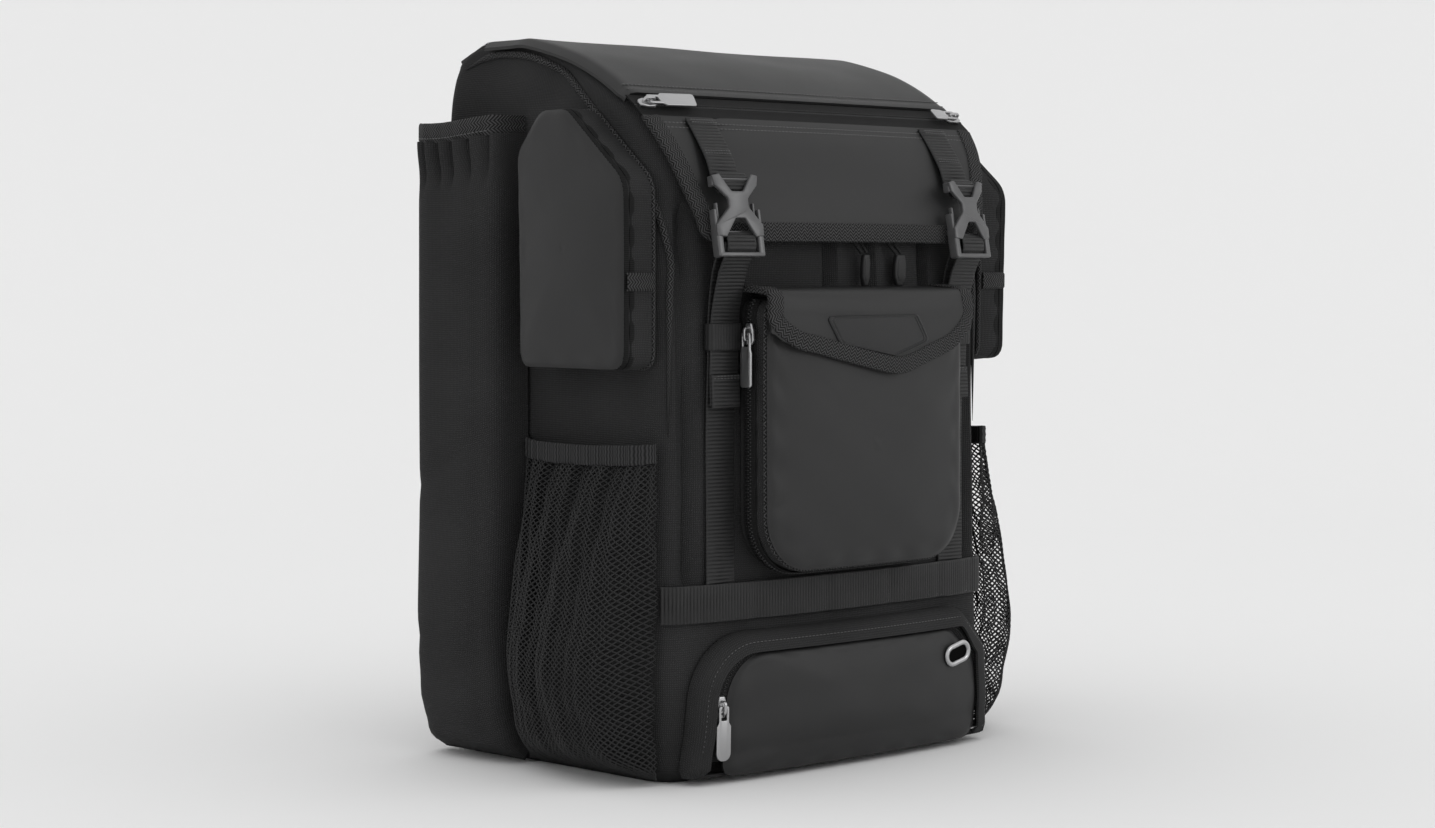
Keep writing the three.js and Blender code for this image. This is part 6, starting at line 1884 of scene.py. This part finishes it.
black_plastic = black_plastic_finish()
for side, label in ((-1, "left"), (1, "right")):
    outline = rounded([(-0.018, -0.012, 0.003), (0.018, -0.012, 0.003), (0.018, 0.012, 0.003), (-0.018, 0.012, 0.003)], 5)
    holes = [rounded([(-0.012, y - 0.0025, 0.001), (0.012, y - 0.0025, 0.001), (0.012, y + 0.0025, 0.001),
                      (-0.012, y + 0.0025, 0.001)], 3) for y in (-0.00545, 0.00545)]
    slide = joined_mesh(f"strap_slide_{label}", [plate_curve(outline, holes, 0.005, 0.0012)], black_plastic)
    slide.data.transform(basis_at(on_back(0.063 * side, adjuster_z, 0.02634), (-1, 0, 0), (0, 0, 1)))
    sew(slide, "black_plastic", f"strap_adjuster_{label}")

# A haul loop of doubled webbing is sewn at the top of the back.
haul_half, haul_z, haul_rise = 0.058, 0.475, 0.026
haul_points = [(-1, 0), (-0.8, 0), (-0.68, 0.3), (-0.42, 0.82), (0, 1), (0.42, 0.82), (0.68, 0.3), (0.8, 0), (1, 0)]
haul_u = np.array([p[0] for p in haul_points]) * haul_half
haul_w = np.array([p[1] for p in haul_points]) * haul_rise + 0.0019 + 0.0013
haul_line = curve_through(on_upper_back(haul_u, np.full_like(haul_u, haul_z), haul_w), 0.002)
haul = webbing_piece("grab_loop", haul_line, (0, 0, 1), 0.022, 0.0026)
sew(haul, "webbing", "haul_loop")

# Five zip sliders stay on the bag, and each holds a pull on a moulded eye. The pulls hang or lie as
# they were left, and each pull is fastened to a body of its own.
pull_rows = {
    "lid_left": ((-0.15261, -0.09847, 0.45772), (1, -0.014, 0.015), (-0.021, -0.68, 0.733), 0.044, 0.012, 0.004),
    "lid_right": ((0.15261, -0.09847, 0.45772), (-1, -0.014, 0.015), (0.021, -0.68, 0.733), 0.024, 0.010, 0.0),
    "front_pocket": ((-0.106, -0.14303, 0.30118), (0, 0, -1), (-1, 0, 0), 0.037, 0.010, 0.0),
    "lower_pocket": ((-0.12748, -0.14385, 0.05188), (0.002, 0.024, -1), (-0.092, -0.995, -0.024), 0.037, 0.012, 0.0),
    "rear": ((-0.13644, 0.09067, 0.50321), (0, 0.926, -0.376), (0, 0.376, 0.926), 0.028, 0.009, 0.0),
}
bright = steel_finish("bright_nickel", (0.40, 0.40, 0.405), 0.26, 0.42)


def slider_meshes():
    """A slider's body with two wings and the arch that holds the pull."""
    body_outline = rounded([(-0.0075, -0.0026, 0.0015), (-0.003, -0.004, 0.002), (0.0045, -0.004, 0.002),
                            (0.0075, -0.0022, 0.0015), (0.0075, 0.0022, 0.0015), (0.0045, 0.004, 0.002),
                            (-0.003, 0.004, 0.002), (-0.0075, 0.0026, 0.0015)], 4)
    block = plate_curve(body_outline, [], 0.003, 0.0009)
    block.transform(Matrix.Translation((0, 0, 0.0003)))
    arch = rounded([(-0.0052, 0.0022, 0.0005), (0.0052, 0.0022, 0.0005), (0.0046, 0.0078, 0.0026), (-0.0046, 0.0078, 0.0026)], 5)
    gap = rounded([(-0.0036, 0.0033, 0.0008), (0.0036, 0.0033, 0.0008), (0.0034, 0.0067, 0.0018), (-0.0034, 0.0067, 0.0018)], 5)
    bridge = plate_curve(arch, [gap], 0.0022, 0.0006)
    bridge.transform(Matrix.Rotation(math.pi / 2, 4, "X"))
    bridge.transform(Matrix.Translation((0, 0.0011, 0)))
    return [block, bridge]


def pull_plate(length, width, slant, tip):
    """The pull's plate: an eye at its root, a slimmer neck and a blunt end."""
    half = width / 2
    corners = [(-0.0011, -0.0042, 0.0015), (0.0100, -0.0042, 0.002), (0.0125, -half, 0.002), (length - slant - 0.0011, -half, tip),
               (length - 0.0011, half, tip), (0.0125, half, 0.002), (0.0100, 0.0042, 0.002), (-0.0011, 0.0042, 0.0015)]
    eye = [(0.0009, -0.0024, 0.0009), (0.0085, -0.0024, 0.0009), (0.0085, 0.0024, 0.0009), (0.0009, 0.0024, 0.0009)]
    plate = plate_curve(rounded(corners, 6), [rounded(eye, 4)], 0.0018, 0.0005)
    plate.transform(Matrix.Translation((0, 0, 0.0043)))
    return plate


for name, (at, along, out, length, width, slant) in pull_rows.items():
    along, out = unit(np.array(along)), unit(np.array(out))
    across = unit(np.cross(out, along))
    along = unit(np.cross(across, out))
    place = basis_at(np.array(at) - out * 0.0052, along, across)
    slider = joined_mesh(f"{name}_zip_slider", slider_meshes(), bright if name != "rear" else steel)
    slider.data.transform(place)
    sew(slider, "metal", f"{name}_slider")
    plate = joined_mesh(f"{name}_plate", [pull_plate(length, width, slant, 0.0055 if name == "lower_pocket" else 0.002)], bright if name != "rear" else rubber)
    plate.data.transform(place)
    sew(plate, "metal" if name != "rear" else "rubber", f"{name}_pull", on=f"{name}_pull")

# The floor is one pale sheet that turns up behind the bag, as in a studio.
def pale_finish():
    finish, tree, shader = start_finish("pale_floor", (0.9, 0.9, 0.9), 0.9, gloss=0.1)
    haze = cloud(tree, 1.4, 2)
    shade_between(tree, shader, haze, (0.89, 0.89, 0.89), (0.90, 0.90, 0.90))
    return finish


floor_reach = 6.0
back_distance = 3.4
turn_radius = 1.6
floor_profile = [(-floor_reach, 0.0), (back_distance - turn_radius, 0.0)]
for step in range(1, 17):
    angle = math.pi / 2 * step / 16
    floor_profile.append((back_distance - turn_radius + turn_radius * math.sin(angle), turn_radius * (1 - math.cos(angle))))
floor_profile.append((back_distance, 6.0))
view_turn = math.radians(-43.94)
ahead = np.array([-math.sin(view_turn), math.cos(view_turn), 0.0])
aside = np.array([ahead[1], -ahead[0], 0.0])
floor_rows = [[ahead * d + aside * s + np.array([0, 0, z]) for s in np.linspace(-floor_reach, floor_reach, 9)]
              for d, z in floor_profile]
flat_points = np.array(floor_rows)
floor_levels, floor_columns = flat_points.shape[:2]
floor_faces = [
    (j * floor_columns + i, j * floor_columns + i + 1, (j + 1) * floor_columns + i + 1, (j + 1) * floor_columns + i)
    for j in range(floor_levels - 1) for i in range(floor_columns - 1)
]
floor = mesh_from("studio_floor", flat_points.reshape(-1, 3), floor_faces, None, pale_finish())
floor.data.transform(Matrix.Translation((0, 0, -0.0006)))

# Soft studio light: a large lamp high on the right, a long one on the left, one overhead and a
# grey surround.
world = bpy.data.worlds.new("studio")
world.use_nodes = True
world.node_tree.nodes["Background"].inputs["Color"].default_value = (1.0, 1.0, 1.0, 1)
world.node_tree.nodes["Background"].inputs["Strength"].default_value = 0.95
bpy.context.scene.world = world


# The lamps are flagged off the floor, which the surround alone lights evenly.
spared = bpy.data.collections.new("spared_from_lamps")
spared.objects.link(floor)
spared.collection_objects[0].light_linking.link_state = "EXCLUDE"


def soft_lamp(name, place, target, width, height, power):
    lamp = bpy.data.lights.new(name, "AREA")
    lamp.shape = "RECTANGLE"
    lamp.size, lamp.size_y = width, height
    lamp.energy = power
    holder = bpy.data.objects.new(name, lamp)
    holder.location = place
    holder.rotation_euler = (Vector(target) - Vector(place)).to_track_quat("-Z", "Y").to_euler()
    bpy.context.scene.collection.objects.link(holder)
    holder.visible_camera = False
    holder.light_linking.receiver_collection = spared


soft_lamp("lamp_right", (1.1, -2.2, 0.95), (0, 0, 0.30), 0.7, 1.1, 8)
soft_lamp("lamp_left", (-2.5, -0.3, 0.9), (0, 0, 0.3), 0.4, 1.4, 2.5)
soft_lamp("lamp_top", (1.4, 0.25, 1.6), (0, 0, 0.45), 1.2, 0.9, 0.5)
